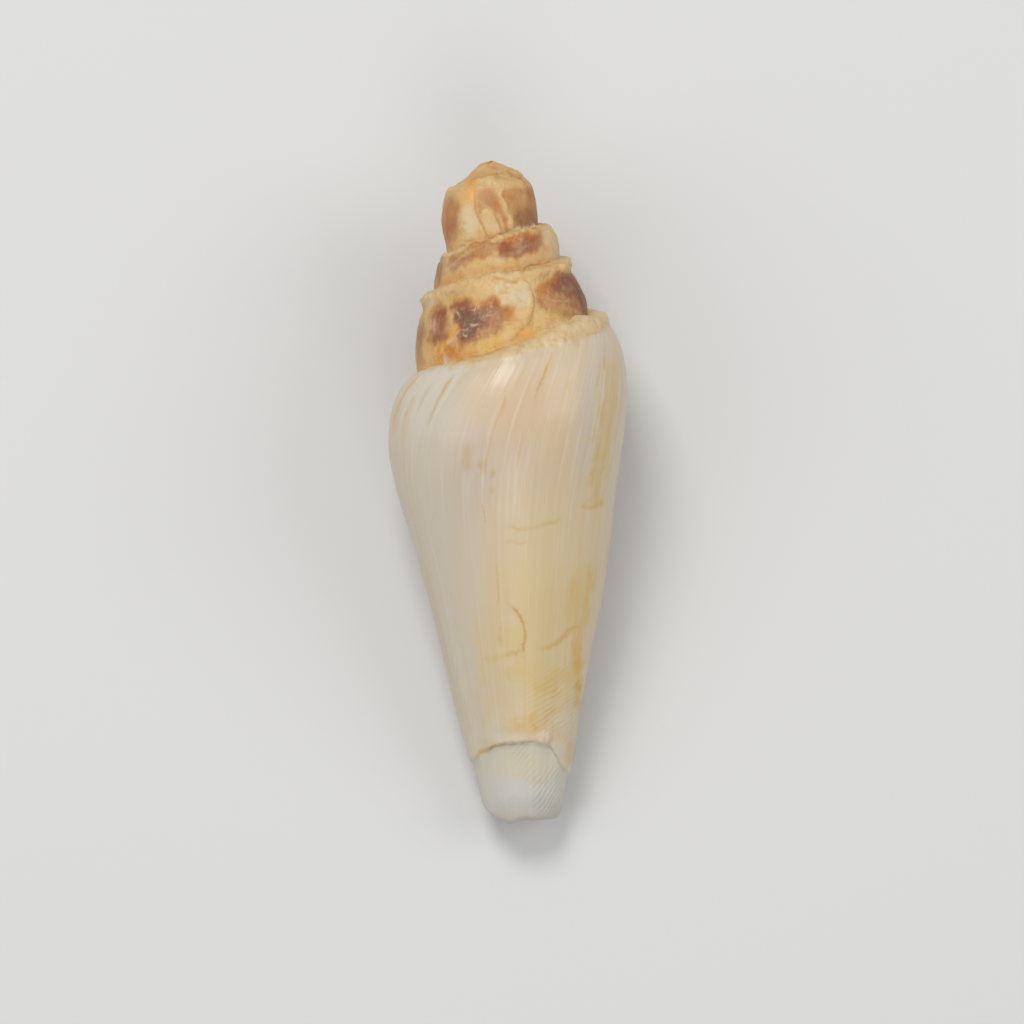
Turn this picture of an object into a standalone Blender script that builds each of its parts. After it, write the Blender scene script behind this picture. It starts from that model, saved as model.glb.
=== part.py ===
# A worn radial cone shell, lying on its mouth side with the apex towards +Y and its back up.
#
# The whole shell grew as one piece, so it is one closed solid. Its outer wall is a strip wound
# about the axis from the apex to the outer lip. The foot of each turn is the suture, where the
# next turn starts. The last turn runs on down to the base, and the hollow behind the lip is a
# narrow slot between that turn and the one before it.
#
# A place on the shell is given by its azimuth in degrees, 0 along the middle of the back and
# rising with growth towards the lip, by its depth below the apex and by its radius.

import math

import bmesh
import bpy
import numpy as np

MM = 0.001

# Growth. A turn is 360 degrees, and every azimuth below is a whole number of steps
TURN = 360
STEP = 5
FIRST_AZIMUTH = -1710
LIP_AZIMUTH = 140
HOLLOW_ANGLE = 180

# Depth of the suture below the apex, in millimetres, at every quarter turn up to the lip and
# on along the line that a further turn would take
SUTURE_AZIMUTHS = (-1710, -1350, -1260, -1170, -1080, -990, -900, -810, -720, -630, -540,
                   -450, -360, -270, -180, -90, 0, 90, 140, 270, 500)
SUTURE_DEPTHS = (0.0, 0.05, 0.25, 0.6, 1.2, 2.2, 5.2, 6.15, 6.9, 8.45, 8.8,
                 9.1, 10.0, 11.6, 13.1, 14.35, 16.9, 19.1, 20.3, 23.8, 28.8)

# Radius of the whorls in millimetres, at these shares of the way from one suture to the next
WHORL_SHARES = (0.03, 0.09, 0.2, 0.35, 0.55, 0.78, 1.0)
WHORL_RADII = {
    -1710: (0.02, 0.04, 0.06, 0.1, 0.14, 0.17, 0.2),
    -1530: (0.05, 0.15, 0.35, 0.6, 0.95, 1.35, 1.7),
    -1350: (0.5, 0.75, 1.0, 1.3, 1.7, 2.3, 3.06),
    -1170: (2.05, 2.6, 3.42, 4.0, 4.25, 4.38, 4.39),
    -990: (3.3, 3.65, 4.1, 4.29, 4.39, 4.3, 4.35),
    -810: (5.1, 5.52, 5.72, 5.88, 5.96, 5.9, 5.8),
    -630: (4.75, 5.0, 5.25, 5.47, 5.68, 5.92, 6.0),
    -450: (6.5, 6.72, 6.6, 6.92, 7.3, 7.64, 7.74),
    -270: (6.75, 7.45, 7.15, 7.62, 7.95, 8.09, 7.98),
    -220: (7.3, 7.7, 7.7, 8.2, 8.55, 8.75, 8.7),
    -90: (9.3, 9.5, 10.12, 10.6, 10.88, 10.96, 10.7),
    0: (8.5, 9.0, 9.7, 10.25, 10.65, 10.87, 10.72),
    90: (8.45, 9.05, 9.78, 10.35, 10.74, 10.9, 10.68),
    140: (9.2, 9.7, 10.3, 10.8, 11.1, 11.1, 10.6),
}

# Radius of the last turn below that, at these shares of the way down to the broken step and
# from the step to the rim of the base
BODY_SHARES = (0.1, 0.2, 0.35, 0.5, 0.65, 0.8, 0.92, 1.0)
BASE_SHARES = (0.06, 0.4, 0.75, 0.94, 1.0)
BODY_RADII = {
    -220: ((8.3, 7.6, 6.5, 5.4, 4.3, 3.2, 2.4, 1.95), (1.85, 1.6, 1.35, 1.2, 1.1)),
    -90: ((10.22, 9.6, 8.8, 7.9, 6.67, 5.6, 4.8, 4.28), (4.05, 3.8, 3.58, 3.4, 3.05)),
    0: ((10.25, 9.65, 8.77, 7.95, 7.05, 6.1, 5.4, 5.0), (4.65, 4.1, 3.65, 3.35, 3.0)),
    90: ((10.15, 9.4, 8.4, 7.5, 6.74, 5.95, 5.15, 4.65), (4.45, 4.1, 3.8, 3.55, 3.15)),
    140: ((10.2, 9.6, 8.6, 7.6, 6.6, 5.6, 4.8, 4.3), (4.15, 3.8, 3.5, 3.25, 3.0)),
}
STEP_AZIMUTHS = (-220, -90, -60, -35, 0, 50, 90, 140)
STEP_DEPTHS = (55.6, 56.2, 54.6, 52.6, 52.5, 52.7, 54.3, 55.6)
RIM_AZIMUTHS = (-220, -90, -45, 0, 22, 45, 90, 140)
RIM_DEPTHS = (58.2, 59.7, 59.95, 60.0, 60.2, 59.9, 58.95, 58.2)

# How far the apex grew to the left of the axis that the rest keeps, at these depths
LEAN_DEPTHS = (0.0, 1.0, 5.0, 9.0, 13.0)
LEANS = (-0.4, -0.85, -0.85, -0.42, 0.0)

# Ragged edge of the ledges: waves in a turn, phase, and height in millimetres. It ends on the
# last turn, whose shoulder is smooth
LEDGE_ROWS = (1, 2)
LEDGE_WAVES = ((4.3, 0.4, 0.12), (7.7, 1.7, 0.1), (11.3, 2.9, 0.08))
RAGGED_END = (-40, 50)

# Walls of the hollow
WALL = 0.95
LIP_TAPER_ANGLE = 6
ROOF = 1.3
ROOF_GAP = 0.85
HOLLOW_TAPER = 4
PILLAR_TAPER = 0.1

# Resting pose, and how much is worn off where the shell rests
REST_TILT = math.radians(11.0)
WORN_DEPTH = 0.25

COLUMNS = (LIP_AZIMUTH - FIRST_AZIMUTH) // STEP
TURN_COLUMNS = TURN // STEP
LIP_COLUMN = COLUMNS
PILLAR_COLUMN = COLUMNS - TURN_COLUMNS
HOLLOW_END = LIP_COLUMN - HOLLOW_ANGLE // STEP
FOOT_ROW = len(WHORL_SHARES)
RIM_ROW = FOOT_ROW + len(BODY_SHARES) + len(BASE_SHARES)


def smooth_curve(at, xs, ys):
    """Value at a place on the cubic through the points, with no swing past any of them."""
    xs, ys = np.asarray(xs, float), np.asarray(ys, float)
    gaps = np.diff(xs)
    slopes = (np.diff(ys, axis=0).T / gaps).T
    before, after = slopes[:-1], slopes[1:]
    total = before + after
    product = before * after
    inner = np.where(product > 0, 2 * product / np.where(total == 0, 1, total), 0)
    tangents = np.concatenate([slopes[:1], inner, slopes[-1:]])
    cell = int(np.clip(np.searchsorted(xs, at) - 1, 0, len(xs) - 2))
    gap = gaps[cell]
    t = (min(max(at, xs[0]), xs[-1]) - xs[cell]) / gap
    return ((2 * t ** 3 - 3 * t ** 2 + 1) * ys[cell] + (t ** 3 - 2 * t ** 2 + t) * gap * tangents[cell]
            + (3 * t ** 2 - 2 * t ** 3) * ys[cell + 1] + (t ** 3 - t ** 2) * gap * tangents[cell + 1])


def azimuth_of(column):
    return FIRST_AZIMUTH + column * STEP


def suture_depth(azimuth):
    return float(smooth_curve(azimuth, SUTURE_AZIMUTHS, SUTURE_DEPTHS))


def body_depth(azimuth, row, start):
    """Depth of a row of the body: shares of the way to the broken step, then to the rim."""
    if row == 0:
        return start
    step = float(smooth_curve(azimuth, STEP_AZIMUTHS, STEP_DEPTHS))
    if row <= len(BODY_SHARES):
        return start + BODY_SHARES[row - 1] * (step - start)
    rim = float(smooth_curve(azimuth, RIM_AZIMUTHS, RIM_DEPTHS))
    return step + BASE_SHARES[row - len(BODY_SHARES) - 1] * (rim - step)


def row_depth(azimuth, row):
    """Depth of a row of the outer wall: shares of the way to the next suture, then the body's."""
    top = suture_depth(azimuth)
    foot = suture_depth(azimuth + TURN)
    if row > FOOT_ROW:
        return body_depth(azimuth, row - FOOT_ROW, foot)
    return top + (WHORL_SHARES[row - 1] if row else 0) * (foot - top)


def fade_between(value, start, end):
    """Share from 0 at start to 1 at end, level at both."""
    share = min(max((value - start) / (end - start), 0), 1)
    return share * share * (3 - 2 * share)


def ragged(azimuth):
    """How far the worn edge of a ledge stands out or in."""
    turns = math.radians(azimuth)
    waves = sum(height * math.sin(turns * count + phase) for count, phase, height in LEDGE_WAVES)
    return waves * (1 - fade_between(azimuth, *RAGGED_END))


def row_radius(azimuth, row):
    """Radius of the outer wall at a row. The first row is the foot of the turn before."""
    if row == 0:
        return 0 if azimuth < FIRST_AZIMUTH + TURN else row_radius(azimuth - TURN, FOOT_ROW)
    if row <= FOOT_ROW:
        table = {key: radii[row - 1] for key, radii in WHORL_RADII.items()}
    else:
        table = {key: (body + base)[row - FOOT_ROW - 1] for key, (body, base) in BODY_RADII.items()}
    radius = float(smooth_curve(azimuth, list(table), list(table.values())))
    return radius + ragged(azimuth) if row in LEDGE_ROWS else radius


def place(azimuth, depth, radius):
    """Point of the shell, standing on its axis: x across, y towards the apex, z out of the back."""
    lean = float(smooth_curve(depth, LEAN_DEPTHS, LEANS))
    angle = math.radians(azimuth)
    return (lean - radius * math.sin(angle), -depth, radius * math.cos(angle))


def outer_key(column, row):
    """Name of a vertex of the outer wall. A foot row is the first row of the turn after it."""
    if row == FOOT_ROW and column <= PILLAR_COLUMN:
        return outer_key(column + TURN_COLUMNS, 0)
    if row == 0 and column < TURN_COLUMNS:
        return ("apex",)
    return ("outer", column, row)


def roof_key(column, row):
    """Name of a vertex of the hollow's outer side, which meets the wall at the lip."""
    if column == LIP_COLUMN:
        return outer_key(column, row)
    if row == 0 or column == HOLLOW_END:
        return pillar_key(column, max(row - FOOT_ROW, 0))
    return ("roof", column, row)


def pillar_key(column, row):
    """Name of a vertex of the hollow's inner side, which is the turn before, seen in the mouth."""
    if column == LIP_COLUMN:
        return outer_key(PILLAR_COLUMN, FOOT_ROW + row)
    return ("pillar", column, row)


def pillar_place(column, row):
    azimuth = azimuth_of(column)
    inward = (LIP_AZIMUTH - azimuth) / HOLLOW_ANGLE
    top = suture_depth(azimuth) + ROOF * min(1, 4 * inward)
    radius = row_radius(azimuth_of(PILLAR_COLUMN), FOOT_ROW + row)
    return body_depth(azimuth, row, top), radius * (1 - PILLAR_TAPER * inward)


def roof_place(column, row):
    azimuth = azimuth_of(column)
    inward = (LIP_AZIMUTH - azimuth) / HOLLOW_ANGLE
    wall = WALL * (1 - math.exp(-(LIP_AZIMUTH - azimuth) / LIP_TAPER_ANGLE))
    below_ledge = min(row / FOOT_ROW, 1)
    lowered = ROOF * min(1, 4 * inward) * (1 - below_ledge)
    pillar_depth, pillar = pillar_place(column, max(row - FOOT_ROW, 0))
    gap = max(row_radius(azimuth, row) - wall * below_ledge - pillar, ROOF_GAP * below_ledge)
    open_share = 1 - inward ** HOLLOW_TAPER
    return (pillar_depth + (row_depth(azimuth, row) + lowered - pillar_depth) * open_share,
            pillar + gap * open_share)


def vertex_place(key):
    if key[0] == "apex":
        return place(0, 0, 0)
    kind, column, row = key
    azimuth = azimuth_of(column)
    if kind == "outer":
        return place(azimuth, row_depth(azimuth, row), row_radius(azimuth, row))
    return place(azimuth, *(roof_place if kind == "roof" else pillar_place)(column, row))


def cells(key, columns, rows):
    """Corner names of every cell of a sheet."""
    return [[key(c, r), key(c, r + 1), key(c + 1, r + 1), key(c + 1, r)]
            for c in range(*columns) for r in range(*rows)]


def shell_cells():
    """Corner names of every face of the shell: spire, last turn, hollow and base."""
    first = TURN_COLUMNS
    faces = [[("apex",), outer_key(c, FOOT_ROW), outer_key(c + 1, FOOT_ROW)] for c in range(first - 1)]
    faces.append([("apex",), outer_key(first - 1, FOOT_ROW)]
                 + [outer_key(first, r) for r in range(FOOT_ROW, -1, -1)])
    faces += cells(outer_key, (first, LIP_COLUMN), (0, FOOT_ROW))
    faces += cells(outer_key, (PILLAR_COLUMN, LIP_COLUMN), (FOOT_ROW, RIM_ROW))
    faces += cells(roof_key, (HOLLOW_END, LIP_COLUMN), (0, RIM_ROW))
    faces += cells(pillar_key, (HOLLOW_END, LIP_COLUMN), (0, RIM_ROW - FOOT_ROW))
    faces += [[outer_key(c, RIM_ROW), outer_key(c + 1, RIM_ROW), roof_key(c + 1, RIM_ROW),
               roof_key(c, RIM_ROW)] for c in range(HOLLOW_END, LIP_COLUMN)]
    faces.append([outer_key(c, RIM_ROW) for c in range(PILLAR_COLUMN, HOLLOW_END + 1)]
                 + [pillar_key(c, RIM_ROW - FOOT_ROW) for c in range(HOLLOW_END, LIP_COLUMN)])
    return faces


def shell_material():
    material = bpy.data.materials.new("shell_surface")
    material.use_nodes = True
    surface = material.node_tree.nodes["Principled BSDF"]
    surface.inputs["Base Color"].default_value = (0.72, 0.62, 0.47, 1.0)
    surface.inputs["Roughness"].default_value = 0.42
    surface.inputs["Metallic"].default_value = 0.0
    return material


def make_shell():
    mesh = bpy.data.meshes.new("shell")
    solid = bmesh.new()
    made = {}
    for corners in shell_cells():
        names = list(dict.fromkeys(corners))
        if len(names) < 3:
            continue
        for name in names:
            if name not in made:
                made[name] = solid.verts.new([value * MM for value in vertex_place(name)])
        solid.faces.new([made[name] for name in names])
    solid.normal_update()
    bmesh.ops.triangulate(solid, faces=solid.faces[:], ngon_method="EAR_CLIP")
    bmesh.ops.recalc_face_normals(solid, faces=solid.faces[:])

    # Laid down on the mouth side, with the flat that wear has left where it rests
    tilt = np.array([[1, 0, 0], [0, math.cos(REST_TILT), -math.sin(REST_TILT)],
                     [0, math.sin(REST_TILT), math.cos(REST_TILT)]])
    for vertex in solid.verts:
        vertex.co = tilt @ np.array(vertex.co)
    lowest = min(vertex.co.z for vertex in solid.verts)
    for vertex in solid.verts:
        vertex.co.z -= lowest + WORN_DEPTH * MM
    cut = bmesh.ops.bisect_plane(solid, geom=solid.verts[:] + solid.edges[:] + solid.faces[:],
                                 plane_co=(0, 0, 0), plane_no=(0, 0, -1), clear_outer=True)
    rim = [part for part in cut["geom_cut"] if isinstance(part, bmesh.types.BMEdge)]
    worn = bmesh.ops.edgenet_fill(solid, edges=rim)["faces"]
    bmesh.ops.triangulate(solid, faces=worn)
    bmesh.ops.recalc_face_normals(solid, faces=solid.faces[:])

    middle = [(min(v.co[a] for v in solid.verts) + max(v.co[a] for v in solid.verts)) / 2 for a in (0, 1)]
    bmesh.ops.translate(solid, verts=solid.verts[:], vec=(-middle[0], -middle[1], 0))
    solid.to_mesh(mesh)
    solid.free()
    mesh.shade_smooth()
    mesh.set_sharp_from_angle(angle=math.radians(40))
    shell = bpy.data.objects.new("shell", mesh)
    bpy.context.collection.objects.link(shell)
    shell.data.materials.append(shell_material())


for leftover in list(bpy.data.objects):
    bpy.data.objects.remove(leftover, do_unlink=True)
make_shell()
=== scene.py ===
import math

import bpy
import numpy as np
from mathutils import Matrix, Vector


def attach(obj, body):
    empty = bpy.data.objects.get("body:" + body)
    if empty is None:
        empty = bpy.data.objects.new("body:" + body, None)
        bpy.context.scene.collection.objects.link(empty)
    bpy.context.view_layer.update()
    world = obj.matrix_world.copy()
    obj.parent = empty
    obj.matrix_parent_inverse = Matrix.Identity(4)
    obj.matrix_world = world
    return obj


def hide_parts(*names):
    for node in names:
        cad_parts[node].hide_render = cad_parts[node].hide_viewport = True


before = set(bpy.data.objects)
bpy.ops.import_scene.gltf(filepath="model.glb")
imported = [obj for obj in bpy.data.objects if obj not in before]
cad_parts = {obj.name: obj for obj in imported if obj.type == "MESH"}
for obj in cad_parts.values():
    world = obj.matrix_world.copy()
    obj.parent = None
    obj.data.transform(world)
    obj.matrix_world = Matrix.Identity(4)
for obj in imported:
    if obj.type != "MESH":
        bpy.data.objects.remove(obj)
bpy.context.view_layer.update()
print("frame loaded")

# A radial cone shell, worn and healed, lying on its mouth side with the apex towards +Y.
# Lengths inside the shape functions are millimetres, and the meshes are in metres.
# A place on the shell is an azimuth in degrees (0 along the middle of the back, rising with
# growth towards the lip), a depth below the apex and a radius from the shell's axis.
# What shows on the back is placed by pixels of a 1024 picture from the camera below.

mm = 0.001

view = {
    "picture": 1024,
    "pixelsPerMm": 11.0,
    "originPixel": (511.38, 504.02),    # where the frame's origin is seen
    "elevation": 83.0,
    "roll": 2.34,
    "distance": 1.2,                    # metres
    "focusHeight": 9.5,                 # towards the camera, where the scale above holds
    "sensor": 36.0,
    "clip": (0.05, 10),
}


def viewAxes():
    # right, up and back of the view: the elevation lifts the back axis off the floor, and the
    # roll turns right and up about it
    lift, roll = math.radians(view["elevation"]), math.radians(view["roll"])
    back = np.array([0, -math.cos(lift), math.sin(lift)])
    up = np.array([0, math.sin(lift), math.cos(lift)])
    right = np.array([1.0, 0, 0])
    return (math.cos(roll) * right - math.sin(roll) * up,
            math.sin(roll) * right + math.cos(roll) * up, back)


def viewPlace():
    # the picture's middle lies as far from the origin as the origin's pixel says
    right, up, back = viewAxes()
    half, scale = view["picture"] / 2, view["pixelsPerMm"]
    across, along = half - view["originPixel"][0], view["originPixel"][1] - half
    away = view["focusHeight"] + view["distance"] / mm
    return across / scale * right + along / scale * up + away * back


def pixelsOf(points):
    # perspective: the offset across the view, times the focus plane's distance over the
    # point's own distance, times the scale
    right, up, back = viewAxes()
    offset = points - viewPlace()
    scale = view["pixelsPerMm"] * view["distance"] / mm / -(offset @ back)
    half = view["picture"] / 2
    return half + scale * (offset @ right), half - scale * (offset @ up)


shell = {
    "turnColumns": 326,                 # columns of the grid in one turn
    "backCloseness": 2.0,               # how much closer they are on the back than underneath
    "firstAzimuth": -1710.0,
    "lipAzimuth": 140.0,
    "hollowAngle": 180.0,
    "restTilt": 11.0,
    "wornDepth": 0.25,
    # depth of the suture below the apex
    "sutureAzimuths": (-1710, -1350, -1260, -1170, -1080, -990, -900, -810, -720, -630, -540,
                       -450, -360, -270, -180, -90, 0, 90, 140, 270, 500),
    "sutureDepths": (0.0, 0.05, 0.25, 0.6, 1.2, 2.2, 5.2, 6.15, 6.9, 8.45, 8.8,
                     9.15, 10.05, 11.72, 13.15, 14.35, 16.9, 19.1, 20.3, 23.8, 28.8),
    # how much higher the worn suture sits than the even one, and its small waves
    "wearAzimuths": (-810, -790, -765, -745, -720, -700, -600, -450, -415, -395, -370, -345, -325,
                     -300, -100, -68, -50, -32, 0, 14, 30),
    "wearRises": (0.0, 0.25, 0.5, 0.4, 0.1, 0.0, 0.0, 0.0, 0.05, 0.1, 0.2, 0.35, 0.1,
                  0.0, 0.0, 0.6, 0.75, 0.55, 0.35, 0.0, 0.0),
    # teeth of the broken edge at the top of the last turn: how far each stands up
    "toothAzimuths": (-140, -125, -97, -90, -80, -68, -57, -51, -47, -39, -30, -22, -12),
    "toothHeights": (0, 0.05, 0.05, -0.2, -0.3, 0, 0.3, 0.05, 0.05, 0.4, 0.25, -0.05, 0),
    # height of the edge's own unevenness, its length, and how far both reach down the whorl
    "raggedAzimuths": (-1000, -900, -130, -95, -50, -30, 20, 60),
    "raggedHeights": (0, 0.2, 0.2, 0.25, 0.25, 0.16, 0.1, 0),
    "raggedLength": 0.9,
    "raggedRing": (7, 40),              # radius of the noise's ring, and degrees to a millimetre up
    "raggedShares": (1, 1, 0.5, 0.08, 0, 0, 0, 0),
    # radius at these shares of the way from one suture to the next
    "whorlShares": (0.0, 0.03, 0.09, 0.2, 0.35, 0.55, 0.78, 1.0),
    "whorlRadii": {
        -1710: (0.02, 0.04, 0.06, 0.1, 0.14, 0.17, 0.2),
        -1530: (0.05, 0.15, 0.35, 0.6, 0.95, 1.35, 1.7),
        -1350: (0.5, 0.75, 1.0, 1.3, 1.7, 2.3, 3.06),
        -1170: (2.05, 2.6, 3.42, 4.0, 4.25, 4.38, 4.39),
        -990: (3.3, 3.65, 4.1, 4.29, 4.39, 4.3, 4.35),
        -810: (5.1, 5.52, 5.72, 5.88, 5.96, 5.9, 5.8),
        -630: (4.75, 5.0, 5.25, 5.47, 5.68, 5.92, 6.0),
        -450: (6.85, 6.95, 6.6, 6.92, 7.3, 7.64, 7.74),
        -360: (6.8, 7.05, 7.15, 7.35, 7.65, 7.85, 7.88),
        -270: (6.75, 7.45, 7.2, 7.62, 7.95, 8.09, 7.98),
        -220: (7.3, 7.7, 7.7, 8.2, 8.55, 8.75, 8.7),
        -90: (9.3, 9.5, 10.15, 10.68, 10.98, 11.06, 10.8),
        0: (8.5, 9.0, 9.7, 10.25, 10.65, 10.87, 10.72),
        90: (8.45, 9.05, 9.78, 10.35, 10.74, 10.9, 10.68),
        140: (9.2, 9.7, 10.3, 10.8, 11.1, 11.1, 10.6),
    },
    # the last turn below that, down to the broken step and from there to the rim of the base
    "bodyShares": (0.1, 0.2, 0.35, 0.5, 0.65, 0.8, 0.92, 1.0),
    "baseShares": (0.06, 0.4, 0.75, 0.94, 1.0),
    "bodyRadii": {
        -220: (8.3, 7.6, 6.5, 5.4, 4.3, 3.2, 2.4, 1.95, 1.85, 1.6, 1.35, 1.2, 1.1),
        -90: (10.3, 9.72, 8.95, 8.06, 6.84, 5.75, 4.95, 4.42, 4.17, 3.88, 3.6, 3.42, 3.32),
        0: (10.25, 9.65, 8.77, 7.95, 7.05, 6.1, 5.4, 5.0, 4.65, 4.1, 3.65, 3.35, 3.0),
        90: (10.15, 9.4, 8.4, 7.5, 6.74, 5.95, 5.15, 4.65, 4.45, 4.1, 3.8, 3.55, 3.15),
        140: (10.2, 9.6, 8.6, 7.6, 6.6, 5.6, 4.8, 4.3, 4.15, 3.8, 3.5, 3.25, 3.0),
    },
    "stepAzimuths": (-220, -90, -77, -67, -57, -47, -42, -34, -18, -5, 8, 18, 29, 40, 50, 58, 75,
                     90, 140),
    "stepDepths": (55.6, 56.2, 56.1, 55.75, 55.35, 54.7, 54.05, 53.25, 52.85, 52.6, 52.62, 52.75,
                   53.05, 53.3, 53.5, 54.0, 54.3, 54.5, 55.6),
    "rimAzimuths": (-220, -90, -45, 0, 22, 45, 90, 140),
    "rimDepths": (58.2, 59.8, 60.1, 60.0, 60.2, 59.9, 58.95, 58.2),
    "rimNotches": (0.16, 0.9, 3.4),     # height, length and radius of the noise's ring
    # how far the apex grew off the axis
    "leanDepths": (0.0, 1.0, 5.0, 9.0, 13.0),
    "leans": (-0.4, -0.85, -0.85, -0.42, 0.0),
    # worn edge of the ledges: waves in a turn, phase, height, and the azimuths where they die out
    "ledgeWaves": ((4.3, 0.4, 0.12), (7.7, 1.7, 0.1), (11.3, 2.9, 0.08)),
    "wavesEnd": (-40, 50),
    # the hollow behind the lip
    "wall": 0.95,
    "lipTaperAngle": 6.0,
    "roof": 1.3,
    "roofGap": 0.85,
    "hollowTaper": 4,
    "pillarTaper": 0.1,
    "hollowAngles": (0, 0.7, 1.5, 2.6, 4, 6, 9, 13, 18, 25, 33, 42, 52, 63, 75, 88, 102, 117,
                     132, 146, 158, 168, 175, 180),
    "endRings": (0.85, 0.6, 0.3),
    "endDepth": 60.0,
    # grid rows in each stretch between two of the radii above
    "whorlRows": (4, 3, 4, 4, 5, 5, 4),
    "bodyRows": (9, 9, 13, 13, 13, 13, 11, 8),
    "baseRows": (4, 13, 12, 8, 4),
}
stepRow = len(shell["whorlRows"]) + len(shell["bodyRows"])      # rows down to the broken step
endRow = stepRow + len(shell["baseRows"])                       # and to the rim of the base


def smoothCurve(at, xs, ys):
    # cubic through the points: the slope at a point is the harmonic mean of the slopes beside
    # it, and level at a peak, so the curve never swings past a point
    xs, ys, at = np.asarray(xs, float), np.asarray(ys, float), np.asarray(at, float)
    gaps = np.diff(xs)
    slopes = (np.diff(ys, axis=0).T / gaps).T
    tangents = harmonicSlopes(slopes)
    cell = np.clip(np.searchsorted(xs, at) - 1, 0, len(xs) - 2)
    shape = at.shape + (1,) * (ys.ndim - 1)
    gap = gaps[cell].reshape(shape)
    share = (np.clip(at, xs[0], xs[-1]) - xs[cell]).reshape(shape) / gap
    return cubic(share, gap, ys[cell], ys[cell + 1], tangents[cell], tangents[cell + 1])


def harmonicSlopes(slopes):
    # at each inner point 2ab / (a + b) of the slopes a and b beside it, or none where they differ
    # in sign
    before, after = slopes[:-1], slopes[1:]
    product, total = before * after, before + after
    inner = np.where(product > 0, 2 * product / np.where(total == 0, 1, total), 0)
    return np.concatenate([slopes[:1], inner, slopes[-1:]])


def cubic(t, gap, start, end, startSlope, endSlope):
    # the cubic with the given values and slopes at both ends of a gap
    return ((2 * t ** 3 - 3 * t ** 2 + 1) * start + (t ** 3 - 2 * t ** 2 + t) * gap * startSlope
            + (3 * t ** 2 - 2 * t ** 3) * end + (t ** 3 - t ** 2) * gap * endSlope)


def fade(value, start, end):
    # share from 0 at start to 1 at end, level at both
    share = np.clip((value - start) / (end - start), 0, 1)
    return share * share * (3 - 2 * share)


def between(value, setIn, dieOut):
    # 0 before the first span, 1 after it, and 0 again after the second
    return fade(value, *setIn) * (1 - fade(value, *dieOut))


def lattice(cells, seed):
    # a fixed scatter of values from -1 to 1, one for each whole-number cell
    x, y, z = (cells[..., k].astype(np.int64) & 0xFFFFFFFF for k in range(3))
    mixed = (x * 374761393 + y * 668265263 + z * 1274126177 + seed * 974634777) & 0xFFFFFFFF
    mixed = ((mixed ^ (mixed >> 13)) * 1103515245) & 0xFFFFFFFF
    mixed = mixed ^ (mixed >> 16)
    return mixed / 2147483647.5 - 1


def noise(places, seed):
    # values of the eight cell corners around a place, blended with level ends
    low = np.floor(places).astype(np.int64)
    part = places - low
    part = part * part * (3 - 2 * part)
    total = 0
    for corner in range(8):
        offset = np.array([corner & 1, corner >> 1 & 1, corner >> 2])
        weight = np.prod(np.where(offset == 1, part, 1 - part), axis=-1)
        total = total + weight * lattice(low + offset, seed)
    return total


def grain(places, size, seed, layers=3):
    # a sum of noises, each half the size and half the height of the one before, and moved along
    # so that their cells don't line up, taken to about -1 to 1
    total = 0
    for k in range(layers):
        total = total + noise(places / size * 2 ** k + 17.3 * k, seed + k) / 2 ** k
    return total / 1.5


def sutureDepth(azimuth):
    # the even spiral, less the worn rise
    return (smoothCurve(azimuth, shell["sutureAzimuths"], shell["sutureDepths"])
            - smoothCurve(azimuth, shell["wearAzimuths"], shell["wearRises"]))


def ringPlaces(azimuth, radius, height):
    # places around a ring, to read a noise at, so that it closes after a turn
    angle = np.radians(azimuth)
    return np.stack([radius * np.cos(angle), radius * np.sin(angle), height], -1)


def raggedness(azimuth):
    # how much lower the broken edge lies than the suture: noise around a rising ring, less the
    # teeth, dying out near the apex and the lip
    radius, pitch = shell["raggedRing"]
    ring = ringPlaces(azimuth, radius, azimuth / pitch)
    height = smoothCurve(azimuth, shell["raggedAzimuths"], shell["raggedHeights"])
    tooth = smoothCurve(azimuth, shell["toothAzimuths"], shell["toothHeights"])
    return height * grain(ring, shell["raggedLength"], 3) - tooth


def bodyDepths(azimuth, start):
    # rows of the body: shares of the way from start to the broken step, then to the rim
    step = smoothCurve(azimuth, shell["stepAzimuths"], shell["stepDepths"])
    high, length, radius = shell["rimNotches"]
    rim = smoothCurve(azimuth, shell["rimAzimuths"], shell["rimDepths"])
    rim = rim + high * grain(ringPlaces(azimuth, radius, 0 * azimuth), length, 7)
    rows = [start] + [start + share * (step - start) for share in shell["bodyShares"]]
    return np.array(rows + [step + share * (rim - step) for share in shell["baseShares"]])


def whorlDepths(azimuth):
    # rows of a whorl: shares of the way from its suture to the one a turn on, the first and the
    # last of them ragged
    top, foot = sutureDepth(azimuth), sutureDepth(azimuth + 360)
    rows = np.array([top + share * (foot - top) for share in shell["whorlShares"]])
    rows += np.outer(shell["raggedShares"], raggedness(azimuth))
    rows[-1] += raggedness(azimuth + 360)
    return rows


def whorlRadii(azimuth):
    # read between the table's azimuths; the first row is the foot of the turn before, and the
    # two ledge rows after it carry waves
    keys = list(shell["whorlRadii"])
    rows = smoothCurve(azimuth, keys, list(shell["whorlRadii"].values())).T.copy()
    waves = sum(height * np.sin(np.radians(azimuth) * count + phase)
                for count, phase, height in shell["ledgeWaves"])
    rows[:2] += waves * (1 - fade(azimuth, *shell["wavesEnd"]))
    foot = smoothCurve(azimuth - 360, keys, [radii[-1] for radii in shell["whorlRadii"].values()])
    return np.vstack([np.where(azimuth < shell["firstAzimuth"] + 360, 0, foot), rows])


def bodyRadii(azimuth):
    # the table's radii from the shoulder to the rim, read between its azimuths
    return smoothCurve(azimuth, list(shell["bodyRadii"]), list(shell["bodyRadii"].values())).T


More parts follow.
